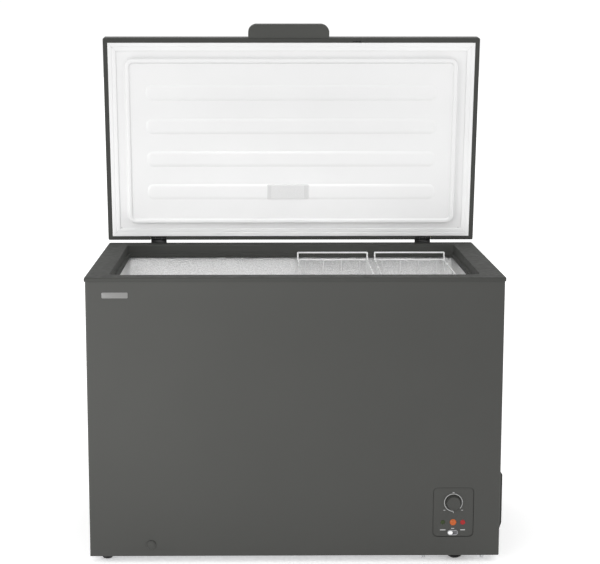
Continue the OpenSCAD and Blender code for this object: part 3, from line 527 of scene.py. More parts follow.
def dress():
    """All the finishes, by name."""
    c = bpy.context.scene.freezer_colours
    return {
        "paint": paint("enamel_grey", c.paint),
        "knob": moulding("knob_grey", [v * 0.97 for v in c.paint], 0.48, 1400),
        "trim": moulding("trim_grey", c.trim, 0.62, shine=0.12),
        # Painted light: the handle is the trim's moulded grey, drawn 1.3 times lighter to stand in for
        # light falling on its face
        "handle": moulding("handle_grey_painted_light", [v * 1.3 for v in c.trim], 0.62, shine=0.12),
        "white": gloss("liner_white", c.white, 0.36),
        "gasket": moulding("gasket_white", (0.78, 0.78, 0.78), 0.6, 300, 0.00003),
        "seam": rubber("gasket_seam", (0.58, 0.58, 0.58), 0.6),
        "wire": gloss("wire_white", c.wire, 0.25),
        "metal": embossed("stucco_aluminium", c.metal),
        "zinc": bright("zinc_plate", (0.52, 0.53, 0.54), 0.38),
        "dark_zinc": bright("dark_zinc", (0.09, 0.09, 0.09), 0.5),
        "galvanised": bright("galvanised_sheet", (0.46, 0.47, 0.48), 0.45, (1, 1, 0.15)),
        "copper": bright("copper_tube", (0.62, 0.31, 0.2), 0.32),
        "steel_black": paint("black_enamel", (0.012, 0.012, 0.012), 0.4),
        "black": moulding("black_plastic", (0.014, 0.014, 0.014), 0.5),
        "rubber": rubber("black_rubber", (0.012, 0.012, 0.012)),
        "foam": foam("cream_foam", (0.82, 0.72, 0.42)),
        "badge": gloss("badge_grey", (0.17, 0.17, 0.165), 0.35),
        "print": gloss("panel_print", (0.42, 0.42, 0.42), 0.6),
        "cover": gloss("lamp_cover", (0.66, 0.66, 0.66), 0.45),
        "cover_end": moulding("lamp_cover_end", (0.60, 0.60, 0.60), 0.5),
        "board": moulding("circuit_board", (0.02, 0.10, 0.04), 0.4),
        "green": lens("green_lens", (0.018, 0.034, 0.002)),
        "amber": lens("amber_lens", (0.42, 0.085, 0.01)),
        "red": lens("red_lens", (0.30, 0.005, 0.006)),
        "switch_grey": moulding("switch_grey", (0.30, 0.30, 0.31), 0.42),
        "switch_white": gloss("switch_white", (0.85, 0.85, 0.85), 0.3),
    }


FINISH = {}


# ---------- operators ----------

class FREEZER_OT_finish_nodes(bpy.types.Operator):
    """Give every CAD node that keeps its own shape its material"""
    bl_idname = "freezer.finish_nodes"
    bl_label = "Finish CAD nodes"

    KEPT = {
        "paint": ["front_panel", "left_side_panel", "right_side_panel", "rear_panel"],
        "galvanised": ["base_panel", "bay_shroud", "compressor_plate"],
        "foam": ["body_insulation"],
        "copper": ["evaporator_coil", "condenser_coil", "refrigerant_pipes", "filter_drier"],
        "zinc": ["bay_bolts", "roller_axles", "hinge_pins", "hinge_springs", "hinge_screws",
                 "thermostat_body", "thermostat_shaft", "lock_case", "roller_brackets"],
        "steel_black": ["compressor"],
        "rubber": ["compressor_grommets"],
        "black": ["start_relay_box", "wiring_loom"],
        "white": ["drain_tube"],
        "board": ["lid_lamp_board"],
    }

    def execute(self, context):
        for finish, nodes in self.KEPT.items():
            for node in nodes:
                mesh = frame["nodes"][node].data
                mesh.materials.clear()
                mesh.materials.append(FINISH[finish])
        return {"FINISHED"}


class FREEZER_OT_collar(bpy.types.Operator):
    """Build the moulded collar round the cavity's mouth"""
    bl_idname = "freezer.collar"
    bl_label = "Collar"

    def execute(self, context):
        s = context.scene.freezer_cabinet
        lo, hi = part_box("top_collar")
        top, lip = hi.z, 10.5 * MM
        wall = over = 3 * MM
        outer = (lo.x, hi.x, lo.y, hi.y)
        mouth = (-s.mouth_x, s.mouth_x, CAB.y - s.mouth_y, CAB.y + s.mouth_y)
        ledge, skirt = top - s.ledge_drop, top - s.skirt_drop
        rim = round_path([(over, top - wall), (over, top - lip, 0.5 * MM), (0, top - lip, 1 * MM),
                          (0, top, 3 * MM), (8 * MM, top)])
        well = round_path([(-8 * MM, top), (0, top, 2.5 * MM), (0, ledge, 1 * MM),
                           (s.ledge, ledge, 1.6 * MM), (s.ledge, skirt, 0.8 * MM),
                           (s.ledge - 2 * MM, skirt), (s.ledge - 2 * MM, ledge - wall),
                           (-wall, ledge - wall), (-wall, top - wall)])
        bm = bmesh.new()
        loft(bm, rows(outer, 7 * MM, rim) + rows(mouth, s.mouth_r, well), 8, closed=True)
        collar = make("collar_moulding", bm, BODY, "trim", ["top_collar"])
        cam = lo.y + 6.1 * MM
        carve(collar, [((LOCK_X - 7 * MM, cam - 0.6 * MM, top - 5 * MM),
                        (LOCK_X + 22.5 * MM, cam + 4.2 * MM, top + 1 * MM))])
        return {"FINISHED"}


class FREEZER_OT_cavity(bpy.types.Operator):
    """Build the embossed metal liner, with its step over the machine bay"""
    bl_idname = "freezer.cavity"
    bl_label = "Cavity liner"

    def execute(self, context):
        s = context.scene.freezer_cabinet
        lo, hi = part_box("liner_walls")
        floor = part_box("liner_floor")[0].z + 1 * MM
        step_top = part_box("liner_floor")[1].z
        x0, x1 = lo.x + 1 * MM, hi.x - 1 * MM
        y0, y1 = lo.y + 1 * MM, hi.y - 1 * MM
        top = hi.z
        corners = [(x0, top), (x0, floor), (STEP_X, floor), (STEP_X, step_top), (x1, step_top),
                   (x1, top)]
        bm = bmesh.new()
        face = bm.faces.new([bm.verts.new((x, y0, z)) for x, z in corners])
        moved = bmesh.ops.extrude_face_region(bm, geom=[face])["geom"]
        bmesh.ops.translate(bm, vec=(0, y1 - y0, 0), verts=verts_in(moved))
        mouth = [f for f in bm.faces if all(abs(v.co.z - top) < 1e-6 for v in f.verts)]
        bmesh.ops.delete(bm, geom=mouth, context="FACES_ONLY")
        folds = [e for e in bm.edges if len(e.link_faces) == 2]
        bmesh.ops.bevel(bm, geom=folds, offset=s.liner_r, segments=5, profile=0.5, affect="EDGES",
                        material=-1)
        face_outwards(bm)
        bmesh.ops.reverse_faces(bm, faces=bm.faces)
        liner = make("cavity_liner", bm, BODY, "metal",
                     ["liner_walls", "liner_floor"], smooth=50)
        add_wall(liner, 0.9 * MM)
        return {"FINISHED"}


def dial_strip(bm, centre, r0, r1, start, sweep, y):
    """A flat printed arc facing the front, from angle start through sweep."""
    def at(r):
        return (centre[0] + r * cos(start), y, centre[1] + r * sin(start))
    verts = [bm.verts.new(at(r0)), bm.verts.new(at(r1))]
    edge = bm.edges.new(verts)
    bmesh.ops.spin(bm, geom=verts + [edge], cent=(centre[0], y, centre[1]), axis=(0, 1, 0),
                   dvec=(0, 0, 0), angle=-sweep, steps=max(2, int(abs(sweep) / radians(6))),
                   use_merge=False, use_duplicate=False)


class FREEZER_OT_controls(bpy.types.Operator):
    """Build the control panel, its printing, the knob, the lamps and the switch"""
    bl_idname = "freezer.controls"
    bl_label = "Controls"

    def execute(self, context):
        refine("control_panel", BODY, "paint", 0.5 * MM)
        knob = Vector(joint("knob_turn")["pos_m"])
        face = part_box("control_panel")[0].y
        self.knob(knob)
        self.printing(knob, face)
        for lamp in ("green", "amber", "red"):
            self.lamp(lamp + "_lamp_lens", lamp, lamp + "_lens", face)
        refine("switch_housing", BODY, "switch_grey", 0.5 * MM)
        refine("switch_slider", "switch_slider", "switch_white", 0.9 * MM, 3)
        refine("badge_plate", BODY, "badge", 0.3 * MM)
        return {"FINISHED"}

    def knob(self, at):
        """The turned cap, with a pointer groove at its foot."""
        lo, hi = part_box("thermostat_knob")
        r, depth = (hi.x - lo.x) / 2, hi.y - lo.y
        bm = bmesh.new()
        side = round_path([
            (0, -0.6 * MM), (r - 6 * MM, -0.6 * MM, 1.5 * MM), (r - 3.5 * MM, 0, 1 * MM),
            (r - 1.2 * MM, 0, 1.2 * MM), (r - 0.8 * MM, -(depth - 2.6 * MM), 0.4 * MM),
            (r, -(depth - 2.4 * MM), 0.3 * MM), (r, -depth), (0, -depth)])
        lathe(bm, side, Vector((at.x, lo.y, at.z)), (0, -1, 0), 64)
        knob = make("knob_cap", bm, "knob", "knob", ["thermostat_knob"])
        carve(knob, [((at.x - 0.7 * MM, lo.y - 1 * MM, at.z - r - 1 * MM),
                      (at.x + 0.7 * MM, lo.y + 0.9 * MM, at.z - r + 8 * MM))])

    def printing(self, at, face):
        """The dial's ring and the plain marks for the lamps and the switch."""
        bm = bmesh.new()
        y = face - 0.12 * MM
        centre = (at.x, at.z)
        dial_strip(bm, centre, 23.7 * MM, 25.4 * MM, radians(-90), radians(-313), y)
        # Each mark is (x, z, width in mm, height in mm)
        marks = [(at.x, at.z + 28.5 * MM, 5, 1.8), (at.x - 24.5 * MM, at.z - 21.5 * MM, 5, 1.6),
                 (at.x + 24 * MM, at.z - 21.5 * MM, 5, 1.6), (at.x, at.z - 27.5 * MM, 1.8, 3.5)]
        z_label = node_middle("red_lamp_lens").z - 21.5 * MM
        for node, w in (("green_lamp_lens", 15), ("red_lamp_lens", 13)):
            marks.append((node_middle(node).x, z_label, w, 2.6))
        switch = node_middle("switch_housing")
        marks.append((switch.x, switch.z + 12 * MM, 8, 2))
        for x, z, w, h in marks:
            verts = bmesh.ops.create_grid(bm, x_segments=1, y_segments=1, size=0.5,
                                          matrix=Matrix.Rotation(pi / 2, 4, "X"))["verts"]
            bmesh.ops.scale(bm, vec=(w * MM, 1, h * MM), verts=verts)
            bmesh.ops.translate(bm, vec=(x, y, z), verts=verts)
        face_outwards(bm)
        thick = bmesh.ops.extrude_face_region(bm, geom=list(bm.faces))["geom"]
        bmesh.ops.translate(bm, vec=(0, 0.1 * MM, 0), verts=verts_in(thick))
        face_outwards(bm)
        make("panel_printing", bm, BODY, "print")

    def lamp(self, node, finish, slot, face):
        lo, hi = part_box(node)
        mid = (lo + hi) / 2
        r = (hi.x - lo.x) / 2 - 2 * MM
        bm = bmesh.new()
        rise = 0.9 * MM
        dome = [(0, rise), (r * 0.45, rise * 0.86), (r * 0.75, rise * 0.55),
                (r * 0.93, rise * 0.15), (r, -0.4 * MM), (r, -6 * MM), (0, -6 * MM)]
        lathe(bm, dome, Vector((mid.x, face - 0.2 * MM, mid.z)), (0, -1, 0), 40)
        make(node + "_dome", bm, BODY, finish, [node], smooth=50)


class FREEZER_OT_drain(bpy.types.Operator):
    """Build the drain's cap, outlet and inner stopper"""
    bl_idname = "freezer.drain"
    bl_label = "Drain"

    def execute(self, context):
        lo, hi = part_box("drain_cap")
        mid = (lo + hi) / 2
        r = (hi.x - lo.x) / 2
        bm = bmesh.new()
        cap = round_path([
            (0, 0), (r - 4 * MM, 0, 1 * MM), (r - 3.4 * MM, -0.7 * MM, 0.3 * MM),
            (r - 2.4 * MM, -0.7 * MM, 0.3 * MM), (r - 1.8 * MM, -0.1 * MM, 0.3 * MM),
            (r, -0.3 * MM, 0.6 * MM), (r, -3.5 * MM), (5.6 * MM, -3.5 * MM), (5.6 * MM, -26 * MM),
            (0, -26 * MM)])
        lathe(bm, cap, Vector((mid.x, lo.y, mid.z)), (0, -1, 0), 48)
        make("drain_cap_turned", bm, "drain_cap", "knob", ["drain_cap"])
        refine("drain_outlet", BODY, "trim", 0.3 * MM)
        lo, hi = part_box("drain_stopper")
        mid = (lo + hi) / 2
        bm = bmesh.new()
        r = (hi.x - lo.x) / 2
        plug = round_path([
            (0, 0), (4 * MM, 0, 1 * MM), (4 * MM, -7.5 * MM, 1.5 * MM), (r, -7.6 * MM, 1.5 * MM),
            (r, -11.6 * MM), (5.2 * MM, -11.7 * MM), (5.2 * MM, -28.5 * MM), (0, -28.5 * MM)])
        lathe(bm, plug, Vector((mid.x, mid.y, hi.z)), (0, 0, 1), 40)
        make("drain_stopper_turned", bm, "drain_stopper", "white", ["drain_stopper"])
        return {"FINISHED"}


class FREEZER_OT_standing(bpy.types.Operator):
    """Build the feet and the rollers that the freezer stands on"""
    bl_idname = "freezer.standing"
    bl_label = "Feet and rollers"

    def execute(self, context):
        lo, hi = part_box("foot_pads")
        r = 14 * MM
        bm = bmesh.new()
        for y in (lo.y + r, hi.y - r):
            foot = round_path([
                (0, 0), (r - 1.5 * MM, 0, 1 * MM), (r, 2 * MM, 1 * MM), (r, 12.5 * MM, 1.5 * MM),
                (r - 3 * MM, 14 * MM, 0.8 * MM), (r - 3 * MM, 20 * MM), (0, 20 * MM)])
            lathe(bm, foot, Vector((lo.x + r, y, 0)), (0, 0, 1), 48)
        make("feet_turned", bm, BODY, "rubber", ["foot_pads"])
        for node in ("front_roller", "rear_roller"):
            self.roller(node)
        return {"FINISHED"}

    def roller(self, node):
        """A wheel with a bored hub and dished sides."""
        lo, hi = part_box(node)
        mid = (lo + hi) / 2
        r, w = (hi.z - lo.z) / 2, (hi.y - lo.y)
        bore, hub = 4.05 * MM, 9 * MM
        bm = bmesh.new()
        half = [(bore, 0.5 * MM), (hub, 0.5 * MM, 0.8 * MM), (hub, 4 * MM, 1 * MM),
                (r - 6 * MM, 4 * MM, 1 * MM), (r - 5 * MM, 0.3 * MM, 0.8 * MM),
                (r - 1.5 * MM, 0.3 * MM, 1.5 * MM), (r, 3.5 * MM, 2 * MM)]
        other = [(p[0], w - p[1], *p[2:]) for p in reversed(half)]
        wheel = round_path(half + [(r, w / 2)] + other)
        lathe(bm, wheel + [wheel[0]], Vector((mid.x, lo.y, mid.z)), (0, 1, 0), 56)
        make(node + "_turned", bm, node, "black", [node])


class FREEZER_OT_hardware(bpy.types.Operator):
    """Round the edges of the hinges, the gland, the vent cover and the rear louvres"""
    bl_idname = "freezer.hardware"
    bl_label = "Hardware"
    LOUVRES = 7
    FIRST_LOUVRE = 100
    LOUVRE_PITCH = 22

    def execute(self, context):
        refine("hinge_housings", BODY, "steel_black", 0.8 * MM)
        refine("lid_hinge_leaves", "lid", "steel_black", 0.6 * MM)
        refine("cord_gland", BODY, "rubber", 0.5 * MM)
        refine("side_vent_cover", BODY, "trim", 0.7 * MM)
        self.louvres()
        return {"FINISHED"}

    def louvres(self):
        """Pressed hoods over the rear panel's slots."""
        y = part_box("rear_panel")[1].y
        bm = bmesh.new()
        for i in range(self.LOUVRES):
            z = (self.FIRST_LOUVRE + self.LOUVRE_PITCH * i) * MM
            verts = block(bm, (325.5 * MM, y - 0.5 * MM, z), (507.5 * MM, y + 5 * MM, z + 9 * MM))
            brow = [v for v in verts if v.co.z > z + 5 * MM and v.co.y > y]
            bmesh.ops.translate(bm, vec=(0, -4.8 * MM, 0), verts=brow)
            under = [f for f in bm.faces if abs(f.calc_center_median().z - z) < 1e-5]
            bmesh.ops.inset_region(bm, faces=under, thickness=1 * MM, depth=0)
            raised = list({v for f in under for v in f.verts})
            bmesh.ops.translate(bm, vec=(0, 0, 3 * MM), verts=raised)
        soften(bm, 0.5 * MM, 2, 40)
        make("rear_louvre_hoods", bm, BODY, "paint")


# ---------- lid ----------

def lid_rects(s):
    """The lid's outline, the frame's inner edge and the liner's plug, as rectangles."""
    outer = (-s.half_width, s.half_width, -s.depth, 0)
    inner_half = s.half_width - s.side_band
    inner = (-inner_half, inner_half, -s.depth + s.front_band, -s.rear_band)
    plug = (-s.plug_half, s.plug_half, -s.plug_front, -s.plug_rear)
    return outer, inner, plug


class FREEZER_OT_lid_shell(bpy.types.Operator):
    """Build the lid's painted skin and the plastic frame under it"""
    bl_idname = "freezer.lid_shell"
    bl_label = "Lid shell"

    def execute(self, context):
        s = context.scene.freezer_lid
        outer, inner, _ = lid_rects(s)
        h, t = s.frame_height, s.thickness
        bm = bmesh.new()
        pan = round_path([(2 * MM, h), (0, h, 0.8 * MM), (0, t, 7 * MM), (12 * MM, t)], 6)
        loft(bm, rows(outer, s.corner, pan), 8, last=True)
        skin = make("lid_skin_pressed", bm, "lid", "paint", ["lid_skin"], LID)
        add_wall(skin, 0.9 * MM)
        self.fill(s)
        bm = bmesh.new()
        side = round_path([(3 * MM, h), (0, h, 0.7 * MM), (0, 0, 2.2 * MM), (4 * MM, 0)])
        lip = round_path([(-2.5 * MM, 0), (0, 0, 0.8 * MM), (0, 3 * MM)])
        loft(bm, rows(outer, s.corner, side) + rows(inner, 10 * MM, lip)
             + rows(outer, s.corner, [(3 * MM, 3 * MM)]), 8, closed=True)
        lid_frame = make("lid_frame_moulding", bm, "lid", "trim", ["lid_frame"], LID)
        pins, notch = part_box("hinge_pins"), 50 * MM
        notches = [((x, -10 * MM, -5 * MM), (x + notch, 5 * MM, 18 * MM))
                   for x in (pins[0].x, pins[1].x - notch)]
        cam = -s.depth + CAM_IN
        slot = ((LOCK_X - 5 * MM, cam - 0.6 * MM, -1 * MM),
                (LOCK_X + 20.5 * MM, cam + 3.6 * MM, 5 * MM))
        bore = ((LOCK_X, -s.depth - 5 * MM, LOCK_RISE), (LOCK_X, -s.depth + 5 * MM, LOCK_RISE),
                6.6 * MM)
        carve(lid_frame, notches + [slot], [bore], LID)
        return {"FINISHED"}

    def fill(self, s):
        """The foam, drawn in towards its top to follow the skin's rounded edge."""
        bm = copy_node("lid_insulation")
        bm.transform(LID.inverted())
        top = max(v.co.z for v in bm.verts)
        draw_in = 7 * MM
        for v in bm.verts:
            if v.co.z > top - 0.1 * MM:
                v.co.x -= copysign(draw_in, v.co.x)
                v.co.y -= copysign(draw_in, v.co.y + s.depth / 2)
        make("lid_foam_filling", bm, "lid", "foam", ["lid_insulation"], LID)


class FREEZER_OT_lid_inside(bpy.types.Operator):
    """Build the lid's white liner, its pressed bands, the gasket and the lamp cover"""
    bl_idname = "freezer.lid_inside"
    bl_label = "Lid inside"
    # From the lid's rear edge to each pressed band, and the bands' width, in millimetres
    BANDS = (132, 234, 334.5, 437)
    BAND_WIDTH = 50

    def execute(self, context):
        s = context.scene.freezer_lid
        _, inner, plug = lid_rects(s)
        self.liner(s, inner, plug)
        self.bands(s)
        self.gasket(inner)
        self.lamp(s)
        return {"FINISHED"}

    def liner(self, s, inner, plug):
        bm = bmesh.new()
        flange = round_path([(0.3 * MM, 3.6 * MM), (0.3 * MM, 2 * MM, 0.5 * MM), (20 * MM, 2 * MM)])
        rise, face = -s.plug_rise, -s.face_rise
        form = round_path([(-10 * MM, 2 * MM), (-1 * MM, 2 * MM, 4 * MM), (0.5 * MM, rise, 5 * MM),
                           (11 * MM, rise, 4 * MM), (14.5 * MM, face, 3 * MM), (22 * MM, face)], 6)
        loft(bm, rows(inner, 10 * MM, flange) + rows(plug, 24 * MM, form, 5 * MM), 8, last=True)
        level = [f for f in bm.faces if abs(f.normal.z) > 0.9]
        if sum(f.normal.z * f.calc_area() for f in level) > 0:
            bmesh.ops.reverse_faces(bm, faces=bm.faces)
        liner = make("lid_liner_formed", bm, "lid", "white", ["lid_liner"], LID, 50)
        add_wall(liner, 1.4 * MM)

    def bands(self, s):
        """The liner's shallow bands, and two small studs on its flange."""
        bm = bmesh.new()
        half = 440 * MM
        for low in self.BANDS:
            rect = (-half, half, -(low + self.BAND_WIDTH) * MM, -low * MM)
            path = [(0, -s.face_rise + 0.3 * MM), (3 * MM, -s.face_rise - 0.5 * MM),
                    (7 * MM, -s.face_rise - 1.2 * MM), (12 * MM, -s.face_rise - 1.4 * MM)]
            one = bmesh.new()
            loft(one, rows(rect, 20 * MM, path, 4 * MM), 6, first=True, last=True)
            band = bpy.data.meshes.new("band")
            one.to_mesh(band)
            one.free()
            bm.from_mesh(band)
            bpy.data.meshes.remove(band)
        make("lid_liner_bands", bm, "lid", "white", (), LID, 60)
        dots = bmesh.new()
        for x in (-524, 519):
            stud = round_path([(0, 0.8 * MM), (2.4 * MM, 0.8 * MM, 0.5 * MM), (3 * MM, 0), (0, 0)])
            lathe(dots, stud, Vector((x * MM, -39 * MM, 2 * MM)), (0, 0, -1), 24)
        make("lid_liner_studs", dots, "lid", "cover_end", (), LID)

    def gasket(self, inner):
        bm = bmesh.new()
        low, high = -1.4 * MM, -0.4 * MM
        section = round_path([
            (0.5 * MM, 1.9 * MM), (0.5 * MM, high, 0.5 * MM), (2.2 * MM, low, 0.6 * MM),
            (11 * MM, low, 0.4 * MM), (12 * MM, high, 0.4 * MM), (14 * MM, high, 0.4 * MM),
            (15 * MM, low, 0.4 * MM), (23 * MM, low, 0.6 * MM), (24.7 * MM, high, 0.5 * MM),
            (24.7 * MM, 1.9 * MM)], 3)
        levels = [(inset(inner, p[0]), 0.4 * MM, p[1]) for p in section]
        loft(bm, levels, 1, closed=True)
        make("lid_gasket_strip", bm, "lid", "gasket", ["lid_gasket"], LID, 40)
        seams = bmesh.new()
        x0, x1, y0, y1 = inner
        z = low + 0.15 * MM
        for cx, cy, ax, ay in ((x0, y0, 1, 1), (x1, y0, -1, 1), (x1, y1, -1, -1), (x0, y1, 1, -1)):
            ends = [(cx + ax * d, cy + ay * d, z) for d in (2.5 * MM, 22.5 * MM)]
            bent_bar(seams, ends, 0.35 * MM, 1 * MM, 6)
        face_outwards(seams)
        make("lid_gasket_welds", seams, "lid", "seam", (), LID)

    def lamp(self, s):
        top = -s.face_rise
        x0, x1, y0, y1 = -73 * MM, 53 * MM, -180 * MM, -134 * MM
        bm = bmesh.new()
        path = round_path([(0, top - 1.0 * MM), (0.2 * MM, top - 3.6 * MM, 1.6 * MM),
                           (6 * MM, top - 3.6 * MM)], 5)
        loft(bm, rows((x0, x1, y0, y1), 3 * MM, path, 0.8 * MM), 4, first=True, last=True)
        make("lid_lamp_lens", bm, "lid", "cover", ["lid_lamp_cover"], LID)
        ends = bmesh.new()
        for a, b in ((x0 + 2.5 * MM, x0 + 13 * MM), (x1 - 13 * MM, x1 - 2.5 * MM)):
            block(ends, (a, y0 + 3 * MM, top - 3.9 * MM), (b, y1 - 3 * MM, top - 3.2 * MM))
        ribs = 11
        for i in range(ribs):
            y = y0 + 6 * MM + (y1 - y0 - 12 * MM) * i / (ribs - 1)
            block(ends, (x0 + 15 * MM, y - 0.5 * MM, top - 3.85 * MM),
                  (x1 - 15 * MM, y + 0.5 * MM, top - 3.3 * MM))
        soften(ends, 0.2 * MM, 1)
        make("lid_lamp_ribs", ends, "lid", "cover_end", (), LID)


class FREEZER_OT_handle(bpy.types.Operator):
    """Build the lid's handle, a flat tongue with a crowned far edge"""
    bl_idname = "freezer.handle"
    bl_label = "Handle"

    def execute(self, context):
        s = context.scene.freezer_lid
        lo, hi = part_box("lid_handle")
        mid, half, reach = (lo.x + hi.x) / 2, s.handle_width / 2, s.handle_reach
        low, high = 2 * MM, 46 * MM
        rect = (mid - half, mid + half, -s.depth - reach, -s.depth + 60 * MM)
        dish = low + 0.5 * MM
        section = round_path([(12 * MM, dish), (4 * MM, dish, 1 * MM), (3 * MM, low, 0.6 * MM),
                              (0, low, 1.2 * MM), (0.4 * MM, high, 6 * MM), (14 * MM, high)], 6)
        bm = bmesh.new()
        loft(bm, rows(rect, 23 * MM, section), 12, first=True, last=True)
        bulge = 7 * MM
        for v in bm.verts:
            across = (v.co.x - mid) / half
            ahead = max(0.0, min(1.0, (-s.depth - v.co.y) / reach))
            v.co.y += bulge * ahead * across * across
        bmesh.ops.bisect_plane(bm, geom=[*bm.verts, *bm.edges, *bm.faces], clear_outer=True,
                               plane_co=(0, -s.depth - 0.2 * MM, 0), plane_no=(0, 1, 0))
        bmesh.ops.contextual_create(bm, geom=[e for e in bm.edges if e.is_boundary])
        face_outwards(bm)
        # Its finish is the trim's grey made lighter, as painted light on the handle's face
        make("handle_tongue", bm, "lid", "handle", ["lid_handle"], LID)
        return {"FINISHED"}


class FREEZER_OT_lock(bpy.types.Operator):
    """Build the lock's barrel, with its key slot and cam"""
    bl_idname = "freezer.lock"
    bl_label = "Lock"

    def execute(self, context):
        refine("lock_barrel", "lock_barrel", "dark_zinc", 0.35 * MM)
        return {"FINISHED"}


# ---------- baskets ----------

class FREEZER_OT_baskets(bpy.types.Operator):
    """Build the two wire baskets from bent round wire"""
    bl_idname = "freezer.baskets"
    bl_label = "Baskets"
    # Upright loops across the basket, and along it
    ACROSS = 9
    ALONG = 4

    def execute(self, context):
        for side in ("left", "right"):
            self.basket(context.scene.freezer_basket, side)
        return {"FINISHED"}

    def basket(self, s, side):
        rim_lo, rim_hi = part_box(side + "_basket_rim")
        wires_lo, wires_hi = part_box(side + "_basket_wires")
        thin, thick = s.grille_wire / 2, s.rim_wire / 2
        x0, x1 = rim_lo.x + thick, rim_hi.x - thick
        half = (wires_hi.y - wires_lo.y) / 2 + 2.7 * MM
        y0, y1 = CAB.y - half, CAB.y + half
        rim_z = rim_lo.z + thick
        hang_z = rim_hi.z - thick
        hang_y = (rim_hi.y - rim_lo.y) / 2 - thick
        low, top = wires_lo.z + thin, rim_z + 1 * MM
        gap, e = thick + thin, 2 * thin
        bm = bmesh.new()
        wx0, wx1, wy0, wy1 = x0 + gap, x1 - gap, y0 + gap, y1 - gap
        width = x1 - x0
        for i in range(self.ACROSS):
            y = CAB.y + (half - 21.5 * MM) * (2 * i / (self.ACROSS - 1) - 1)
            bent_bar(bm, [(wx0, y, top), (wx0, y, low), (wx1, y, low), (wx1, y, top)], thin, s.bend, 8)
        for i in range(self.ALONG):
            x = x0 + 22.5 * MM + (width - 45 * MM) * i / (self.ALONG - 1)
            bent_bar(bm, [(x, wy0, top), (x, wy0, low + e), (x, wy1, low + e), (x, wy1, top)],
                     thin, s.bend, 8)
        for z in (low + 0.33 * (rim_z - low), low + 0.66 * (rim_z - low)):
            closed_bar(bm, [(wx0 + e, wy0 + e, z), (wx1 - e, wy0 + e, z), (wx1 - e, wy1 - e, z),
                            (wx0 + e, wy1 - e, z)], thin, 8 * MM, 8)
        face_outwards(bm)
        make(side + "_basket_grille", bm, side + "_basket", "wire",
             [side + "_basket_wires"], smooth=60)
        bm = bmesh.new()
        closed_bar(bm, [(x0, y0, rim_z), (x1, y0, rim_z), (x1, y1, rim_z), (x0, y1, rim_z)],
                   thick, 12 * MM, 14)
        for way in (-1, 1):
            root = CAB.y + way * (half - 13.5 * MM)
            end = CAB.y + way * hang_y
            up = end - way * 7 * MM
            knee = rim_z + 12 * MM
            bow = [(x0, root, rim_z), (x0, up, knee), (x0, up, hang_z), (x0, end, hang_z)]
            bow += [(x1, y, z) for _, y, z in reversed(bow)]
            bent_bar(bm, bow, thick, 3.2 * MM, 14)
        face_outwards(bm)
        make(side + "_basket_rim_bent", bm, side + "_basket", "wire",
             [side + "_basket_rim"], smooth=60)


# ---------- stage ----------

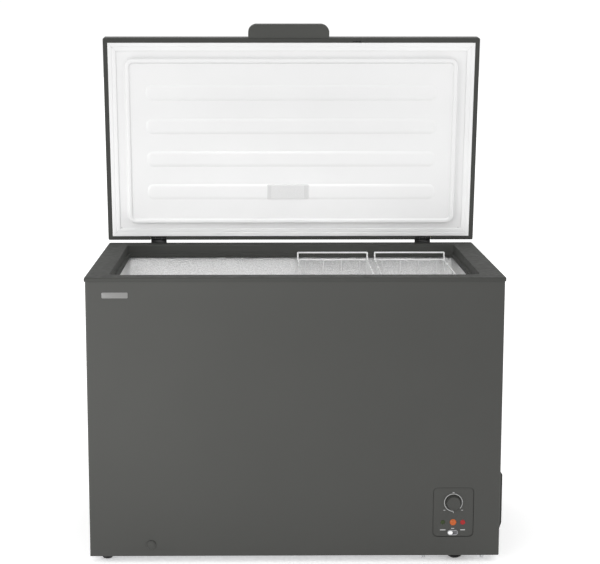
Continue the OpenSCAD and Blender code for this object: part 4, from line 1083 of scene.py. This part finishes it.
class FREEZER_OT_stage(bpy.types.Operator):
    """Set the floor, the light and the camera"""
    bl_idname = "freezer.stage"
    bl_label = "Stage"

    def execute(self, context):
        s = context.scene.freezer_stage
        scene = context.scene
        scene.view_settings.view_transform = "Standard"
        bm = bmesh.new()
        bmesh.ops.create_grid(bm, x_segments=1, y_segments=1, size=40)
        floor = put("studio_floor", bm)
        glow = {"Emission Color": (1, 1, 1, 1), "Emission Strength": 0.3}
        pale = Nodes("studio_floor", (0.97, 0.97, 0.97), 0.9, **glow)
        pale.rough(pale.noise(3, 2), 0.85, 0.95)
        floor.data.materials.append(pale.mat)
        world = bpy.data.worlds.new("studio")
        world.use_nodes = True
        back = world.node_tree.nodes["Background"]
        back.inputs["Color"].default_value = (1, 1, 1, 1)
        back.inputs["Strength"].default_value = 1.04
        scene.world = world
        self.light("key", (-1.9, -2.6, 2.7), (1.4, 1.4), 7, (0, 0, 0.7), 180)
        self.light("side", (-1.9, -2.4, 0.6), (0.8, 0.8), 1.9, (-0.4, -0.3, 0.5), 35)
        self.light("lid_wash", (0, -2.4, 1.3), (1.0, 0.1), 0.2, (0, 0.3, 0.88), 14)
        camera = bpy.data.objects.new("camera", bpy.data.cameras.new("camera"))
        scene.collection.objects.link(camera)
        camera.location = s.place
        camera.rotation_euler = (pi / 2 - s.pitch, 0, -s.yaw)
        camera.data.sensor_width = 36
        camera.data.lens = s.lens
        camera.data.shift_x, camera.data.shift_y = s.shift
        camera.data.clip_end = 200
        scene.camera = camera
        return {"FINISHED"}

    def light(self, name, place, size, watts, aim, spread):
        """An area light aimed at a point, its beam spread in degrees."""
        lamp = bpy.data.lights.new(name, "AREA")
        lamp.shape = "RECTANGLE"
        lamp.size, lamp.size_y = size
        lamp.spread = radians(spread)
        lamp.energy = watts
        obj = bpy.data.objects.new(name, lamp)
        obj.location = place
        beam = Vector(aim) - Vector(place)
        obj.rotation_euler = beam.to_track_quat("-Z", "Y").to_euler()
        bpy.context.scene.collection.objects.link(obj)


class FREEZER_PT_sidebar(bpy.types.Panel):
    """Lists the pieces in the 3D view's sidebar"""
    bl_idname = "FREEZER_PT_sidebar"
    bl_label = "Chest freezer"
    bl_space_type = "VIEW_3D"
    bl_region_type = "UI"
    bl_category = "Freezer"

    def draw(self, context):
        for name, group in GROUPS.items():
            column = self.layout.column(align=True)
            column.label(text=group.__name__)
            values = getattr(context.scene, name)
            for key in group.__annotations__:
                column.prop(values, key)
        for op in OPERATORS:
            self.layout.operator(op.bl_idname)


GROUPS = {
    "freezer_cabinet": FreezerCabinet,
    "freezer_lid": FreezerLid,
    "freezer_basket": FreezerBasket,
    "freezer_colours": FreezerColours,
    "freezer_stage": FreezerStage,
}
OPERATORS = (
    FREEZER_OT_finish_nodes, FREEZER_OT_collar, FREEZER_OT_cavity, FREEZER_OT_controls,
    FREEZER_OT_drain, FREEZER_OT_standing, FREEZER_OT_hardware, FREEZER_OT_lid_shell,
    FREEZER_OT_lid_inside, FREEZER_OT_handle, FREEZER_OT_lock, FREEZER_OT_baskets, FREEZER_OT_stage,
)


def register():
    for cls in (*GROUPS.values(), *OPERATORS, FREEZER_PT_sidebar):
        bpy.utils.register_class(cls)
    for name, group in GROUPS.items():
        setattr(bpy.types.Scene, name, bpy.props.PointerProperty(type=group))


def unregister():
    for name in GROUPS:
        delattr(bpy.types.Scene, name)
    for cls in reversed((*GROUPS.values(), *OPERATORS, FREEZER_PT_sidebar)):
        bpy.utils.unregister_class(cls)


def main():
    register()
    FINISH.update(dress())
    for op in OPERATORS:
        getattr(bpy.ops.freezer, op.bl_idname.split(".")[1])()


if __name__ == "__main__":
    main()
